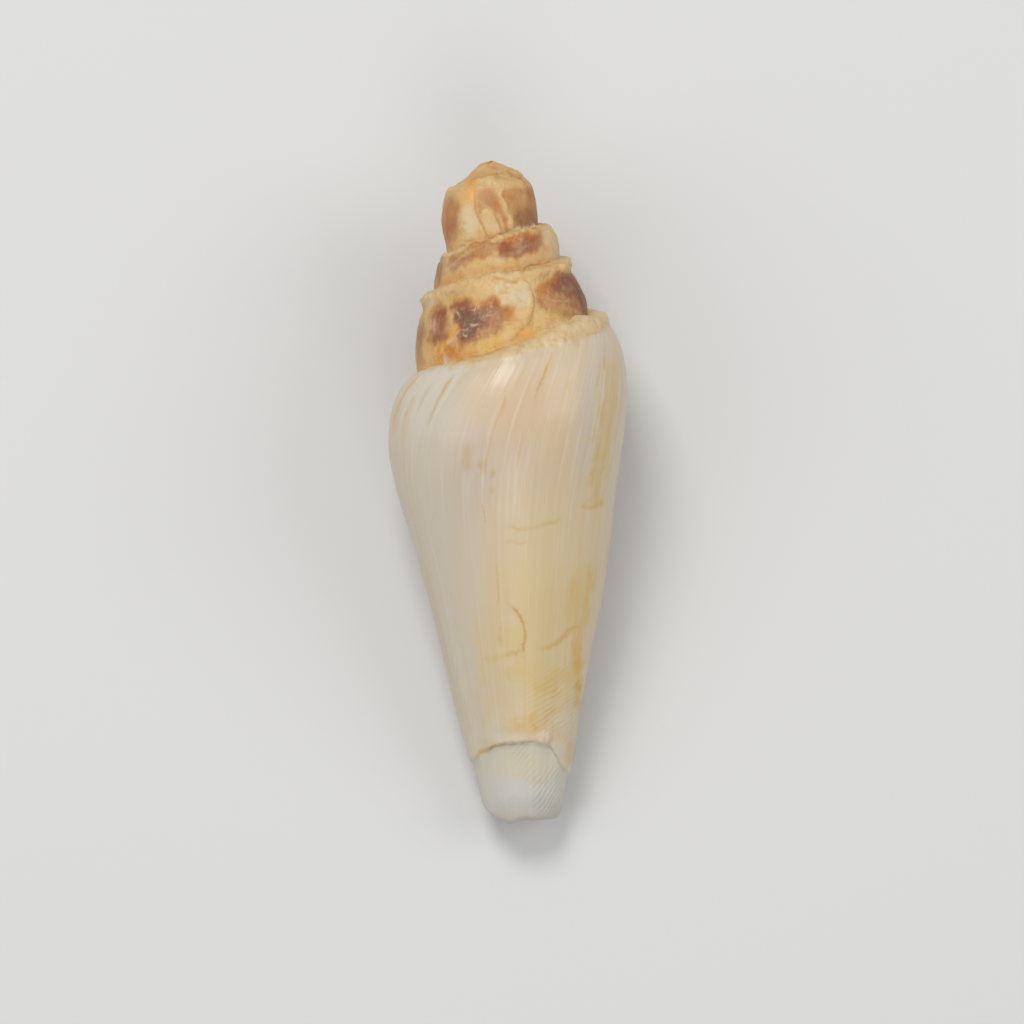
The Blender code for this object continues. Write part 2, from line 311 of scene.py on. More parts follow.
def finerRows(depths, radii, counts):
    # even steps in depth in each stretch between two rows, with the radius on a cubic in depth;
    # gives the depths, the radii and how many rows down each one is
    gaps = np.diff(depths, axis=0)
    gaps = np.where(np.abs(gaps) < 1e-9, 1e-9, gaps)
    tangents = harmonicSlopes(np.diff(radii, axis=0) / gaps)
    cell = np.append(np.repeat(np.arange(len(counts)), counts), len(counts) - 1)
    share = np.append(np.concatenate([np.arange(count) / count for count in counts]), 1.0)
    t = share[:, None]
    radius = cubic(t, gaps[cell], radii[cell], radii[cell + 1], tangents[cell], tangents[cell + 1])
    return depths[cell] + t * gaps[cell], radius, cell + share


def lastTurnRows(azimuth):
    # the whole height of the last turn, in two stretches that meet at the broken step
    depths = np.vstack([whorlDepths(azimuth), bodyDepths(azimuth, sutureDepth(azimuth + 360))[1:]])
    radii = np.vstack([whorlRadii(azimuth), bodyRadii(azimuth)])
    upper, lower = slice(stepRow + 1), slice(stepRow, None)
    above = finerRows(depths[upper], radii[upper], shell["whorlRows"] + shell["bodyRows"])
    below = finerRows(depths[lower], radii[lower], shell["baseRows"])
    return (np.vstack([above[0], below[0][1:]]), np.vstack([above[1], below[1][1:]]),
            np.concatenate([above[2], stepRow + below[2][1:]]))


def turnAzimuths():
    # one turn's columns: even steps of the summed closeness, which is larger on the back
    start = shell["lipAzimuth"] - 360
    fine = np.linspace(start, start + 360, 3601)
    closeness = 1 + (shell["backCloseness"] - 1) * fade(np.cos(np.radians(fine)), -0.35, 0.1)
    summed = np.concatenate([[0], np.cumsum((closeness[1:] + closeness[:-1]) / 2)])
    return np.interp(np.linspace(0, summed[-1], shell["turnColumns"] + 1)[:-1], summed, fine)


def hollowRows(footRow):
    # the inner side is the turn before as the mouth shows it, drawn in a little further back;
    # the outer side is the outer wall less its thickness, and both meet at the closed end
    angles = np.array(shell["hollowAngles"], float)
    azimuth = shell["lipAzimuth"] - angles
    inward = angles / shell["hollowAngle"]
    lowering = shell["roof"] * np.minimum(1, 4 * inward)
    coarse = bodyDepths(azimuth, sutureDepth(azimuth) + lowering)
    innerDepth = finerRows(coarse, coarse, shell["bodyRows"] + shell["baseRows"])[0]
    mouth = lastTurnRows(np.array([shell["lipAzimuth"] - 360.0]))[1][footRow:]
    innerRadius = mouth * (1 - shell["pillarTaper"] * inward)
    outerDepth, outerRadius, rows = lastTurnRows(azimuth)
    belowLedge = np.minimum(rows / len(shell["whorlRows"]), 1)[:, None]
    wall = shell["wall"] * (1 - np.exp(-angles / shell["lipTaperAngle"]))
    facing = np.maximum(np.arange(len(rows)) - footRow, 0)
    besideDepth, beside = innerDepth[facing], innerRadius[facing]
    gap = np.maximum(outerRadius - wall * belowLedge - beside, shell["roofGap"] * belowLedge)
    openShare = 1 - inward ** shell["hollowTaper"]
    depth = besideDepth + (outerDepth + lowering * (1 - belowLedge) - besideDepth) * openShare
    return azimuth, (innerDepth, innerRadius), (depth, beside + gap * openShare)


def standing(azimuth, depth, radius):
    # point about the upright axis: x across, y towards the apex, z out of the back
    lean = smoothCurve(depth, shell["leanDepths"], shell["leans"])
    angle = np.radians(azimuth)
    return np.stack([lean - radius * np.sin(angle), -depth, radius * np.cos(angle)], -1)


def laidDown(points):
    # turned about x so that the apex end rises, then lowered until the worn depth is below the
    # floor, and centred on the CAD box
    tilt = math.radians(shell["restTilt"])
    x, y, z = points.T
    turned = np.stack([x, y * math.cos(tilt) - z * math.sin(tilt),
                       y * math.sin(tilt) + z * math.cos(tilt)], -1)
    turned[:, 2] -= turned[:, 2].min() + shell["wornDepth"]
    middle = (turned.min(0) + turned.max(0)) / 2
    return turned - np.array([middle[0], middle[1], 0])


def sheetFaces(ids):
    # two triangles in every cell of a sheet, wound to face out of the outer wall
    a, b, c, d = ids[:-1, :-1], ids[1:, :-1], ids[1:, 1:], ids[:-1, 1:]
    return np.concatenate([np.stack(three, -1).reshape(-1, 3) for three in ([a, c, b], [a, d, c])])


def zipFaces(longIds, longAt, shortIds, shortAt):
    # triangles between two edges with different counts: each step of an edge joins the nearest
    # point of the other
    longMiddle = (longAt[1:] + longAt[:-1]) / 2
    shortMiddle = (shortAt[1:] + shortAt[:-1]) / 2
    nearShort = np.searchsorted(shortMiddle, longMiddle)
    nearLong = np.searchsorted(longMiddle, shortMiddle)
    return np.concatenate([np.stack([longIds[:-1], longIds[1:], shortIds[nearShort]], -1),
                           np.stack([shortIds[1:], shortIds[:-1], longIds[nearLong]], -1)])


def shellGrid():
    # The outer wall is a strip wound from the apex to the lip, and the foot of each turn is the
    # first row of the next. The last turn runs on down to the base. Sheets are numbered one
    # after the other, then points that coincide share the number of one of them.
    turn = turnAzimuths()
    columns = np.concatenate([turn + 360 * k for k in range(-5, 1)] + [[shell["lipAzimuth"]]])
    columns = columns[columns >= shell["firstAzimuth"]]
    perTurn, mouth = len(turn), len(columns) - 1 - len(turn)
    spire, last = columns[:mouth + 1], columns[mouth:]
    foot = sum(shell["whorlRows"])
    spireDepth, spireRadius, spireRows = finerRows(whorlDepths(spire), whorlRadii(spire),
                                                   shell["whorlRows"])
    lastDepth, lastRadius, lastRows = lastTurnRows(last)
    hollow, inner, outer = hollowRows(foot)
    sheets, count = {}, 0
    for name, azimuth, depth, radius, rows in (
            ("spire", spire, spireDepth, spireRadius, spireRows),
            ("last", last, lastDepth, lastRadius, lastRows),
            ("inner", hollow, *inner, lastRows[foot:]), ("outer", hollow, *outer, lastRows)):
        ids = count + np.arange(depth.size).reshape(depth.shape)
        count += depth.size
        sheets[name] = {"ids": ids, "depth": depth, "radius": radius,
                        "azimuth": np.broadcast_to(azimuth, depth.shape),
                        "row": np.broadcast_to(rows[:, None], depth.shape)}

    # s is the spire, t the last turn, i and o the hollow's inner and outer side; each row or
    # column that lies on another takes the numbers of that one
    s, t, i, o = (sheets[name]["ids"] for name in ("spire", "last", "inner", "outer"))
    same = np.arange(count)
    same[s[0, :perTurn]] = s[0, 1]
    same[s[:foot, 0]] = s[0, 1]
    same[s[0, perTurn:]] = s[foot, :s.shape[1] - perTurn]
    same[s[:, -1]] = t[:foot + 1, 0]
    behind = np.concatenate([s[foot], t[foot, 1:]])
    same[t[0]] = behind[mouth - perTurn:mouth + 1]
    same[i[:, 0]] = t[foot:, 0]
    same[o[0, 1:]] = i[0, 1:]
    same[o[:, 0]] = t[:, -1]
    same[o[:, -1]] = i[np.maximum(np.arange(len(o)) - foot, 0), -1]
    for link in range(4):               # follow each shared number to the last in its chain
        same = same[same]

    # the base's end: a thin rim around the hollow, and rings drawn in to the middle of the rest
    hollowEnd = int(np.argmin(np.abs(last - hollow[-1])))
    rim = zipFaces(t[-1, hollowEnd:], last[hollowEnd:], o[-1, ::-1], hollow[::-1])
    loop = np.concatenate([t[-1, :hollowEnd + 1], i[-1, ::-1]])
    rings = count + np.arange(len(shell["endRings"]) * len(loop)).reshape(-1, len(loop))
    middle = count + rings.size
    ringSheet = np.vstack([loop, rings])
    ringSheet = np.hstack([ringSheet, ringSheet[:, :1]])
    fan = np.stack([ringSheet[-1, 1:], np.full(len(loop), middle), ringSheet[-1, :-1]], -1)
    same = np.append(same, np.arange(count, middle + 1))
    faces = np.concatenate([sheetFaces(s), sheetFaces(t), sheetFaces(i)[:, ::-1], sheetFaces(o),
                            rim, sheetFaces(ringSheet), fan])
    return sheets, loop, same, faces


# the points of the sheets, then those of the end's rings and its middle
sheets, endLoop, samePoint, rawFaces = shellGrid()
flat = {key: np.concatenate([sheets[name][key].ravel() for name in sheets])
        for key in ("azimuth", "depth", "radius", "row")}
points = standing(flat["azimuth"], flat["depth"], flat["radius"])
loopPoints = points[samePoint[endLoop]]
endCentre = loopPoints.mean(0)
ringPoints = [endCentre + share * (loopPoints - endCentre) for share in shell["endRings"]]
points = laidDown(np.concatenate([points, *ringPoints, endCentre[None]]))

# the faces that haven't shrunk to a line, by their raw corners and by the points they share
corners = samePoint[rawFaces]
whole = (corners != np.roll(corners, 1, axis=1)).all(1)
rawFaces, faces = rawFaces[whole], corners[whole]
print("grid", len(points), "points", len(faces), "triangles")


def lineDistance(x, y, corners):
    # distance to the nearest stretch of a line in the picture, and the share of the line's
    # length that lies before that place
    corners = np.array(corners, float)
    start, run = corners[:-1], np.diff(corners, axis=0)
    lengths = np.hypot(run[:, 0], run[:, 1])
    before = np.concatenate([[0], np.cumsum(lengths)[:-1]])
    nearest, share = np.full(x.shape, 1e9), np.zeros(x.shape)
    for k in range(len(run)):
        across, along = x - start[k, 0], y - start[k, 1]
        t = np.clip((across * run[k, 0] + along * run[k, 1]) / lengths[k] ** 2, 0, 1)
        distance = np.hypot(across - t * run[k, 0], along - t * run[k, 1])
        closer = distance < nearest
        nearest = np.where(closer, distance, nearest)
        share = np.where(closer, (before[k] + t * lengths[k]) / lengths.sum(), share)
    return nearest, share


def areaDistance(x, y, corners):
    # distance to a closed outline in the picture, negative inside it: a place is inside where
    # the outline crosses the level line to its right an odd number of times
    ring = list(corners) + [corners[0]]
    away = lineDistance(x, y, ring)[0]
    crossings = np.zeros(x.shape, int)
    for (x0, y0), (x1, y1) in zip(ring[:-1], ring[1:]):
        spans = (y0 > y) != (y1 > y)
        crossings += spans & (x < (x1 - x0) * (y - y0) / (y1 - y0 if y1 != y0 else 1) + x0)
    return np.where(crossings % 2 == 1, -away, away)


def ovalDistance(x, y, oval):
    # roughly the distance to an oval's edge in pixels, negative inside: its own radius there
    # times how far the place is, as a share of it, beyond one
    x0, y0, across, along, lean = oval
    angle = math.radians(lean)
    u = ((x - x0) * math.cos(angle) + (y - y0) * math.sin(angle)) / across
    v = ((y - y0) * math.cos(angle) - (x - x0) * math.sin(angle)) / along
    return (np.hypot(u, v) - 1) * min(across, along)


# Colours, as light reflected from red, green and blue
colours = {
    "cream": (0.59, 0.475, 0.33), "milk": (0.65, 0.60, 0.54), "greyWhite": (0.56, 0.495, 0.395),
    # the first colour below is painted shade, for the underside of the base
    "baseShade": (0.39, 0.385, 0.35), "biscuit": (0.60, 0.44, 0.235), "lilac": (0.42, 0.24, 0.14),
    "peach": (0.59, 0.43, 0.28), "butter": (0.60, 0.47, 0.27), "yellow": (0.58, 0.39, 0.12),
    # the olive below is painted shade, for the left edge of the last turn
    "ochre": (0.50, 0.30, 0.08), "rust": (0.48, 0.25, 0.06), "oliveShade": (0.42, 0.35, 0.21),
    "tan": (0.58, 0.36, 0.14), "sand": (0.60, 0.37, 0.16), "amber": (0.61, 0.29, 0.06),
    "orange": (0.74, 0.34, 0.06), "brownOrange": (0.48, 0.18, 0.03),
    "redBrown": (0.27, 0.07, 0.02), "purple": (0.175, 0.052, 0.024),
    "greyPurple": (0.18, 0.088, 0.052), "mauve": (0.36, 0.145, 0.06),
    "brown": (0.46, 0.215, 0.07), "darkBrown": (0.30, 0.135, 0.045), "white": (0.52, 0.51, 0.47),
    "bone": (0.56, 0.51, 0.40), "ivory": (0.63, 0.48, 0.28), "lamella": (0.60, 0.41, 0.19),
    "honey": (0.62, 0.41, 0.175), "straw": (0.61, 0.45, 0.20), "roseGrey": (0.53, 0.44, 0.35),
    "gold": (0.60, 0.36, 0.08), "golden": (0.64, 0.43, 0.14),
}


def spot(x, y, across, along, lean, colour, strength, soft, warp=1.0, **more):
    # an oval: its middle, half width, half height and lean in degrees
    return {"oval": (x, y, across, along, lean), "colour": colour, "strength": strength,
            "soft": soft, "warp": warp, **more}


def patch(places, colour, strength, soft, warp=1.0, **more):
    # a closed outline through places given as x and y in turn
    return {"area": np.reshape(places, (-1, 2)), "colour": colour, "strength": strength,
            "soft": soft, "warp": warp, **more}


def vein(places, width, colour, strength, soft, warp=1.0, **more):
    # an open line through places given as x and y in turn, tapering at both ends
    return {"line": np.reshape(places, (-1, 2)), "width": width, "colour": colour,
            "strength": strength, "soft": soft, "warp": warp, **more}


# What shows on the back, whorl by whorl from the apex, in pixels of the picture. Each ends in its
# colour, strength, softness (the width of its edge) and warp (how far the edge wanders), and may
# have a rust rim of a width in pixels, a lift in millimetres, its own gloss, wear, or streaks: the
# share of it that the growth lines break up.
marks = {"top": [
    spot(489, 174, 40, 12, 4, "sand", 0.8, 10),
    spot(489, 173, 40, 12, 4, "ochre", 0.3, 10),
    spot(478, 178, 16, 6, -20, "amber", 0.35, 8),
    spot(520, 205, 24, 24, 0, "brown", 0.3, 16),
    patch((450, 197, 462, 186, 470, 183, 475, 187, 475, 209, 477, 216, 482, 225, 485, 238,
        470, 242, 458, 241, 455, 232, 457, 218, 453, 205), "honey", 0.85, 5, lift=0.1, gloss=0.6),
    spot(467, 220, 9, 17, 0, "ivory", 0.9, 10, gloss=0.9),
    spot(473, 226, 5, 9, 0, "cream", 0.35, 6),
    vein((472.5, 184, 474, 196, 474, 209), 3, "orange", 0.65, 3, 0.6),
    spot(471, 192, 4.5, 10, 6, "orange", 0.7, 6),
    spot(462, 200, 7, 9, 20, "amber", 0.35, 9),
    spot(451, 220, 8, 24, 4, "mauve", 0.95, 8),
    spot(454, 210, 6, 9, 0, "brown", 0.8, 7),
    spot(445, 226, 4, 24, 4, "brownOrange", 0.55, 7),
    spot(458, 234, 7, 6, 0, "rust", 0.65, 7),
    patch((477, 191, 485, 189, 494, 189, 498, 197, 501, 207, 505, 215, 508, 222, 509, 231,
        501, 229, 497, 218, 492, 209, 486, 206, 480, 211, 476, 207), "brown", 0.85, 5),
    spot(489, 199, 6, 7, 0, "mauve", 0.45, 7),
    patch((480, 216, 483, 211, 488, 209, 492, 212, 496, 219, 501, 232, 497, 236, 487, 236,
        484, 226), "honey", 0.95, 2.5, 0.6, lift=0.16),
    spot(493, 227, 4, 7, -20, "peach", 0.6, 5),
    vein((497, 213, 501, 220, 504, 227), 2.4, "honey", 0.7, 2.6),
    patch((505, 188, 518, 187, 532, 187, 536, 197, 538, 212, 539, 228, 527, 230, 516, 233,
        512, 226, 511, 215, 506, 205, 502, 198, 503, 191), "brown", 0.9, 4),
    spot(511, 196, 8, 7, 0, "rust", 0.35, 8),
    spot(527, 219, 13, 13, 0, "darkBrown", 0.95, 11),
    spot(531, 193, 6, 8, 0, "darkBrown", 0.45, 8),
    spot(524, 204, 3, 12, 4, "tan", 0.4, 5),
    vein((503, 185, 501, 190, 500, 196, 504, 203, 507, 210, 510, 217, 512, 225, 510, 233), 3.6,
        "honey", 0.85, 3, 1.2, lift=0.09),
    vein((484, 186, 496, 184, 508, 184, 520, 185, 532, 187), 5, "honey", 0.5, 5),
    vein((495, 172.5, 505, 173.5, 513, 176, 521, 180, 526, 183), 3, "brown", 0.7, 3, 2),
    vein((468, 181, 480, 177, 492, 175, 500, 177, 508, 180), 2.2, "brown", 0.45, 3, 2),
    vein((488, 167, 498, 168.5), 2.4, "brown", 0.5, 3, 2),
    spot(488, 181, 9, 4, 0, "ivory", 0.5, 6, 2),
    vein((478, 171, 486, 166, 492, 164), 5, "honey", 0.4, 6),
    vein((484, 239, 495, 237, 504, 234, 513, 232), 3.4, "mauve", 0.75, 3, lift=-0.08),
    vein((500, 236, 508, 233.5, 516, 231, 524, 228, 532, 225.5, 540, 224), 7, "darkBrown", 0.7, 4,
        2, lift=-0.08),
    spot(516.5, 231, 4.4, 3.2, -10, "bone", 0.7, 2, 1.4, lift=0.18),
    spot(525, 228.5, 3.8, 2.4, -15, "bone", 0.65, 2, 1.4, lift=0.15),
    spot(508, 234, 3, 1.8, -10, "bone", 0.7, 2, 1.4, lift=0.1),
    spot(532.5, 225.5, 2.8, 1.8, -10, "bone", 0.7, 2.2, lift=0.12),
    spot(459, 245, 8, 6, -20, "honey", 0.85, 4, lift=0.14),
    spot(455, 246.5, 3, 2.6, 0, "orange", 0.85, 3),
], "second": [
    spot(462, 272, 30, 9, -14, "tan", 0.35, 9, 3),
    vein((470, 244, 484, 240.5, 497, 237.5, 508, 235, 520, 236, 531, 230, 541, 227, 549, 228), 4,
        "honey", 0.9, 3, 1.2),
    patch((448, 265, 455, 257, 468, 249, 484, 244, 497, 241, 499, 252, 484, 256, 466, 262,
        454, 268), "mauve", 0.8, 7, 3.5, rim=2.6),
    spot(484, 252, 10, 5, -14, "rust", 0.45, 7, 3),
    patch((497, 246, 503, 241, 513, 239, 526, 235, 536, 232, 544, 235, 541, 245, 532, 252,
        519, 257, 507, 260, 500, 256), "mauve", 0.95, 5, 3, rim=2.6),
    patch((499, 247, 504, 242, 510, 244, 511, 252, 508, 258, 501, 256), "redBrown", 0.85, 5, 2),
    vein((504, 243, 513, 240, 526, 236, 537, 233), 5, "brownOrange", 0.75, 4, 2.4),
    spot(528, 240, 9, 3.5, -20, "redBrown", 0.7, 5, 2),
    spot(521, 248, 11, 5, -22, "purple", 0.5, 7, 2.5),
    spot(519, 252, 3, 2, 0, "lilac", 0.5, 4, 2),
    spot(506, 255, 8, 3, -10, "lilac", 0.5, 4, 2),
    spot(455, 266, 7, 4, -30, "lilac", 0.7, 5, 2),
    vein((472, 247, 484, 243, 495, 241), 3, "brownOrange", 0.6, 4, 2.4),
    spot(439, 272, 4, 14, 8, "purple", 0.65, 6, 2),
    spot(551, 246, 8, 16, -20, "ivory", 0.75, 9),
    spot(528, 262, 16, 5, -12, "honey", 0.5, 7, 3),
    spot(452, 281, 10, 4, -25, "orange", 0.3, 6, 3),
], "third": [
    patch((428, 297, 440, 290, 456, 287, 472, 281, 490, 277, 510, 277, 528, 270, 548, 264,
        570, 262, 572, 272, 556, 275, 540, 284, 520, 290, 498, 292, 480, 298, 462, 298, 446, 302,
        432, 306), "honey", 0.75, 6, 3),
    patch((493, 286, 504, 281, 520, 282, 529, 288, 532, 299, 531, 308, 518, 308, 506, 304,
        497, 297), "ivory", 0.9, 9, 2, lift=0.05, gloss=0.6),
    spot(521, 299, 8, 7, 10, "cream", 0.55, 8),
    patch((506, 309, 518, 310, 530, 309, 527, 320, 518, 330, 505, 341, 494, 343, 488, 338,
        498, 328, 504, 319), "honey", 0.8, 7, 2.5),
    patch((431, 330, 432, 316, 436, 308, 441, 304, 445, 309, 446, 320, 447, 333, 443, 343,
        435, 345, 430, 340), "mauve", 0.95, 7, 2.5, rim=2.6),
    spot(440, 314, 4.5, 8, 15, "redBrown", 0.85, 6, 2),
    spot(437, 329, 5, 10, 10, "purple", 0.55, 7, 2),
    spot(420, 338, 4, 20, 4, "purple", 0.6, 7, 2),
    patch((424, 346, 440, 347, 456, 341, 480, 340, 498, 333, 502, 338, 498, 352, 480, 357,
        462, 362, 440, 366, 424, 369), "amber", 0.9, 7, 3, gloss=0.8),
    spot(452, 350, 11, 9, 0, "brownOrange", 0.75, 9, 3, gloss=0.9),
    spot(430, 358, 8, 9, 8, "honey", 0.7, 8, 2),
    spot(484, 344, 15, 9, -14, "golden", 0.85, 9, 3),
    spot(473, 354, 7, 5, -10, "brownOrange", 0.3, 6, 3),
    spot(447, 361, 2.6, 4, 10, "bone", 0.6, 2.6, 1.5, lift=0.08),
    spot(453, 364, 4, 2, -10, "bone", 0.5, 2.6, 1.5, lift=0.06),
    patch((451, 305, 456, 301, 466, 299, 470, 304, 477, 306, 484, 300, 495, 299, 503, 306,
        514, 311, 513, 316, 503, 319, 499, 327, 490, 335, 478, 342, 463, 346, 455, 341, 458, 329,
        454, 316), "mauve", 0.95, 5, 2.8, rim=2.6, gloss=0.6),
    patch((454, 306, 466, 304, 478, 309, 486, 306, 491, 313, 485, 323, 478, 333, 468, 340,
        461, 339, 461, 328, 456, 316), "purple", 0.7, 8, 3, gloss=0.6),
    spot(492, 314, 9, 7, 0, "lilac", 0.45, 8, 3),
    patch((455, 312, 463, 309, 474, 312, 480, 320, 478, 332, 468, 338, 460, 336, 461, 325),
        "greyPurple", 0.85, 8, 2.5),
    spot(487, 302, 7, 3.5, -5, "brownOrange", 0.85, 4, 2),
    spot(495, 305, 5, 3, 20, "redBrown", 0.45, 4, 2),
    spot(434, 327, 3.5, 8, 10, "lilac", 0.6, 5, 2),
    spot(460, 305, 8, 3.5, -12, "redBrown", 0.75, 5, 2),
    spot(508, 313.5, 6, 2.8, 5, "brownOrange", 0.8, 3.5, 1.4),
    spot(484, 334, 9, 4, -35, "brown", 0.5, 6, 2),
    vein((464, 298, 469, 301, 474, 304, 480, 302, 484, 297), 3.4, "amber", 0.6, 4, 2),
    patch((537, 289, 545, 281, 553, 276, 562, 273, 575, 274, 582, 287, 588, 302, 590, 318,
        579, 320, 568, 315, 552, 313, 541, 308, 536, 300), "mauve", 0.85, 6, 2.6, rim=2.6),
    patch((556, 280, 566, 275, 576, 275, 583, 288, 588, 302, 580, 300, 566, 297, 556, 292),
        "purple", 0.8, 8, 2.6),
    spot(568, 290, 6, 5, 10, "lilac", 0.4, 8, 3),
    vein((563, 295, 574, 295.5, 587, 298), 4, "purple", 0.55, 4, 1.6),
    spot(557, 282.5, 5, 4.5, 0, "redBrown", 0.9, 5, 2),
    spot(553, 279.5, 5, 2, -10, "brownOrange", 0.6, 3, 2),
    spot(542, 290, 5, 6, 0, "brownOrange", 0.75, 6, 2.4),
    vein((545, 300, 556, 300.5, 568, 302), 3, "ochre", 0.65, 3, 2.4),
    vein((556, 307.5, 570, 308, 586, 311), 3.4, "tan", 0.55, 4, 2.4),
    spot(584, 300, 7, 20, -14, "purple", 0.75, 8, 2),
    spot(549, 300, 8, 7, 0, "sand", 0.5, 7, 4),
    vein((552, 294, 564, 295, 578, 297), 2.2, "brownOrange", 0.5, 3, 2),
    vein((550, 309, 566, 309.5, 584, 312), 2.6, "sand", 0.5, 3.5, 2.4),
    spot(558, 304, 18, 5, 4, "brown", 0.6, 7, 2.6),
    vein((547, 300, 560, 301, 574, 305, 588, 309), 2.4, "darkBrown", 0.5, 3, 1.4),
    patch((534, 313, 548, 311, 562, 314, 578, 320, 574, 329, 556, 335, 536, 338), "golden", 0.6, 6,
        2.6),
    spot(552, 325, 14, 6, -14, "ivory", 0.6, 7, 4),
    vein((544, 312, 558, 313, 572, 317, 586, 318), 4, "ochre", 0.7, 4, 2),
    vein((529, 288, 531, 299, 530.5, 310, 527, 319, 517, 329, 507, 339), 5, "honey", 0.6, 4, 0.8,
        lift=0.08),
    spot(524, 333, 5, 4, -30, "orange", 0.6, 3.5, 1.5),
    vein((457, 325, 454, 332, 447, 339, 441, 348, 439.5, 356, 442, 364), 4.4, "orange", 0.95, 3,
        2.2, lift=-0.12),
    spot(509, 277.5, 8, 2.2, 2, "ivory", 0.7, 2.5, 0.6, lift=0.1),
    spot(529, 269, 4.2, 3, 0, "sand", 0.8, 2, 0.5, lift=0.2),
    spot(430, 300, 7, 6, 0, "ivory", 0.8, 5),
    spot(497, 340, 3, 2.4, 0, "orange", 0.6, 3),
    vein((462, 362, 474, 359.5, 486, 355), 4, "honey", 0.7, 3, 2.4),
], "body": [
    patch((400, 395, 418, 376, 440, 367, 468, 364, 458, 376, 448, 388, 438, 402, 430, 418,
        424, 436, 404, 432), "milk", 0.7, 5, 1.2, gloss=0.9),
    spot(424, 412, 20, 34, 30, "milk", 0.6, 24),
    spot(425, 480, 40, 110, 6, "greyWhite", 0.75, 50),
    spot(528, 425, 50, 60, 0, "peach", 0.9, 45),
    spot(470, 470, 24, 50, 6, "roseGrey", 0.6, 30),
    spot(516, 470, 38, 32, 0, "roseGrey", 0.5, 26),
    # painted shade: a grey streak down the right flank of the last turn, where it turns from the
    # light
    spot(583, 440, 7, 60, 6, "roseGrey", 0.6, 10, 3),
    spot(552, 575, 56, 110, 0, "butter", 0.8, 70, streaks=0.1),
    spot(455, 600, 22, 90, -8, "greyWhite", 0.6, 24),
    spot(580, 597, 11, 34, 8, "yellow", 0.85, 14, 5, streaks=0.6),
    spot(526, 625, 46, 60, 0, "straw", 0.5, 44, 6, streaks=0.2),
    spot(527, 693, 48, 36, 0, "straw", 0.7, 34, 7, streaks=0.3),
    spot(485, 668, 8, 40, -8, "straw", 0.7, 10, 6, streaks=0.5),
    spot(500, 690, 22, 22, 0, "roseGrey", 0.25, 12, 4),
    spot(551, 684, 20, 11, -28, "yellow", 0.45, 12, 6),
    spot(518, 671, 14, 9, 0, "yellow", 0.35, 10, 6),
    spot(462, 655, 14, 60, -14, "greyWhite", 0.5, 14, 3),
    patch((608, 350, 617, 372, 615, 412, 610, 440, 606, 470, 600, 503, 589, 507, 591, 470,
        597, 430, 603, 392), "yellow", 0.78, 14, 5, streaks=0.4),
    vein((604, 352, 607, 372, 606, 400, 601, 430), 4, "ochre", 0.3, 4, 1.4),
    spot(597, 470, 5, 30, 6, "ochre", 0.25, 6, 2),
    spot(470, 452, 17, 26, 6, "roseGrey", 0.5, 14, streaks=0.4),
    spot(468, 458, 5, 13, 6, "ochre", 0.45, 7, 3),
    spot(482, 467, 3.5, 8, 6, "ochre", 0.55, 4, 2.4),
    spot(493, 473, 2.5, 5, 6, "ochre", 0.4, 3, 1.5),
    spot(492, 490, 2, 3.5, 0, "ochre", 0.45, 3, 1.5),
    vein((418, 376, 408, 389, 400, 403, 396, 416, 393, 430), 3.4, "tan", 0.85, 5, 1.2, streaks=0.5),
    vein((414, 397, 409, 411, 405, 426, 402, 443), 5.5, "tan", 0.75, 5, 1.5, streaks=0.5),
    vein((431, 385, 423, 399, 418, 412), 2.4, "ochre", 0.3, 3),
    vein((454, 375, 447, 385, 441, 396, 434, 409, 428, 424), 2.2, "ochre", 0.5, 3, 0.8),
    vein((552, 354, 548, 366, 545, 376), 3, "tan", 0.45, 3),
    vein((506, 390, 504, 404, 498, 418, 491, 436, 487, 452, 484, 474), 3, "ochre", 0.35, 3.5, 1.2),
    vein((523, 430, 519, 452, 516, 470), 2, "ochre", 0.35, 3),
    spot(569, 387, 3, 6, 0, "yellow", 0.5, 4),
    spot(512, 637, 9, 14, 0, "straw", 0.7, 8, lift=0.03),
    spot(509, 618, 7, 9, 0, "cream", 0.5, 8),
    spot(577, 653, 5, 22, 4, "gold", 0.9, 9, 3.5, streaks=0.3),
    spot(577, 666, 4, 7, 0, "gold", 0.9, 5, 1.4),
    spot(578, 687, 3, 4, 0, "rust", 0.8, 4, 1.2),
    vein((579, 676, 577, 692, 577, 708), 6, "gold", 0.75, 7, 2.4),
    vein((502, 656, 494, 658, 484, 660), 5, "yellow", 0.55, 6, 2.4),
    spot(525, 726, 20, 8, -6, "gold", 0.35, 9, 5),
    spot(531, 719, 3.4, 4.4, 0, "gold", 0.6, 5, 3),
    spot(521, 725, 4, 3, 0, "gold", 0.45, 4, 3),
    spot(536, 731, 6, 4, 0, "gold", 0.5, 6, 3),
    vein((541, 718, 553, 713, 567, 702), 6, "gold", 0.35, 7, 4),
    vein((508, 605, 521, 618, 525, 637, 523, 655, 506, 656), 4, "gold", 0.35, 6),
    vein((542, 649, 556, 644, 570, 630, 583, 626), 4, "gold", 0.35, 6, 1.5),
    vein((574, 699, 560, 712, 548, 722), 3, "bone", 0.4, 4),
    vein((573, 716, 560, 727, 550, 735), 3, "bone", 0.4, 4),
    spot(543.5, 738.5, 7, 5, 0, "milk", 0.8, 4, lift=0.16),
    spot(545, 738, 22, 8, -14, "tan", 0.35, 9, 4),
    # painted shade: a dark olive band down the left edge of the last turn, where it turns away
    vein((421, 560, 429, 590, 436, 620, 445, 650, 452, 670, 460, 700, 470, 728), 9, "oliveShade", 0.22,
        11, 3),
    vein((477, 757, 480, 752, 488, 748, 497, 746), 4, "gold", 0.7, 5, 2),
    vein((571, 740, 570, 752, 567, 765), 6, "tan", 0.6, 6, 2),
    patch((588, 300, 608, 304, 606, 332, 584, 336, 560, 344, 536, 350, 513, 355, 490, 361,
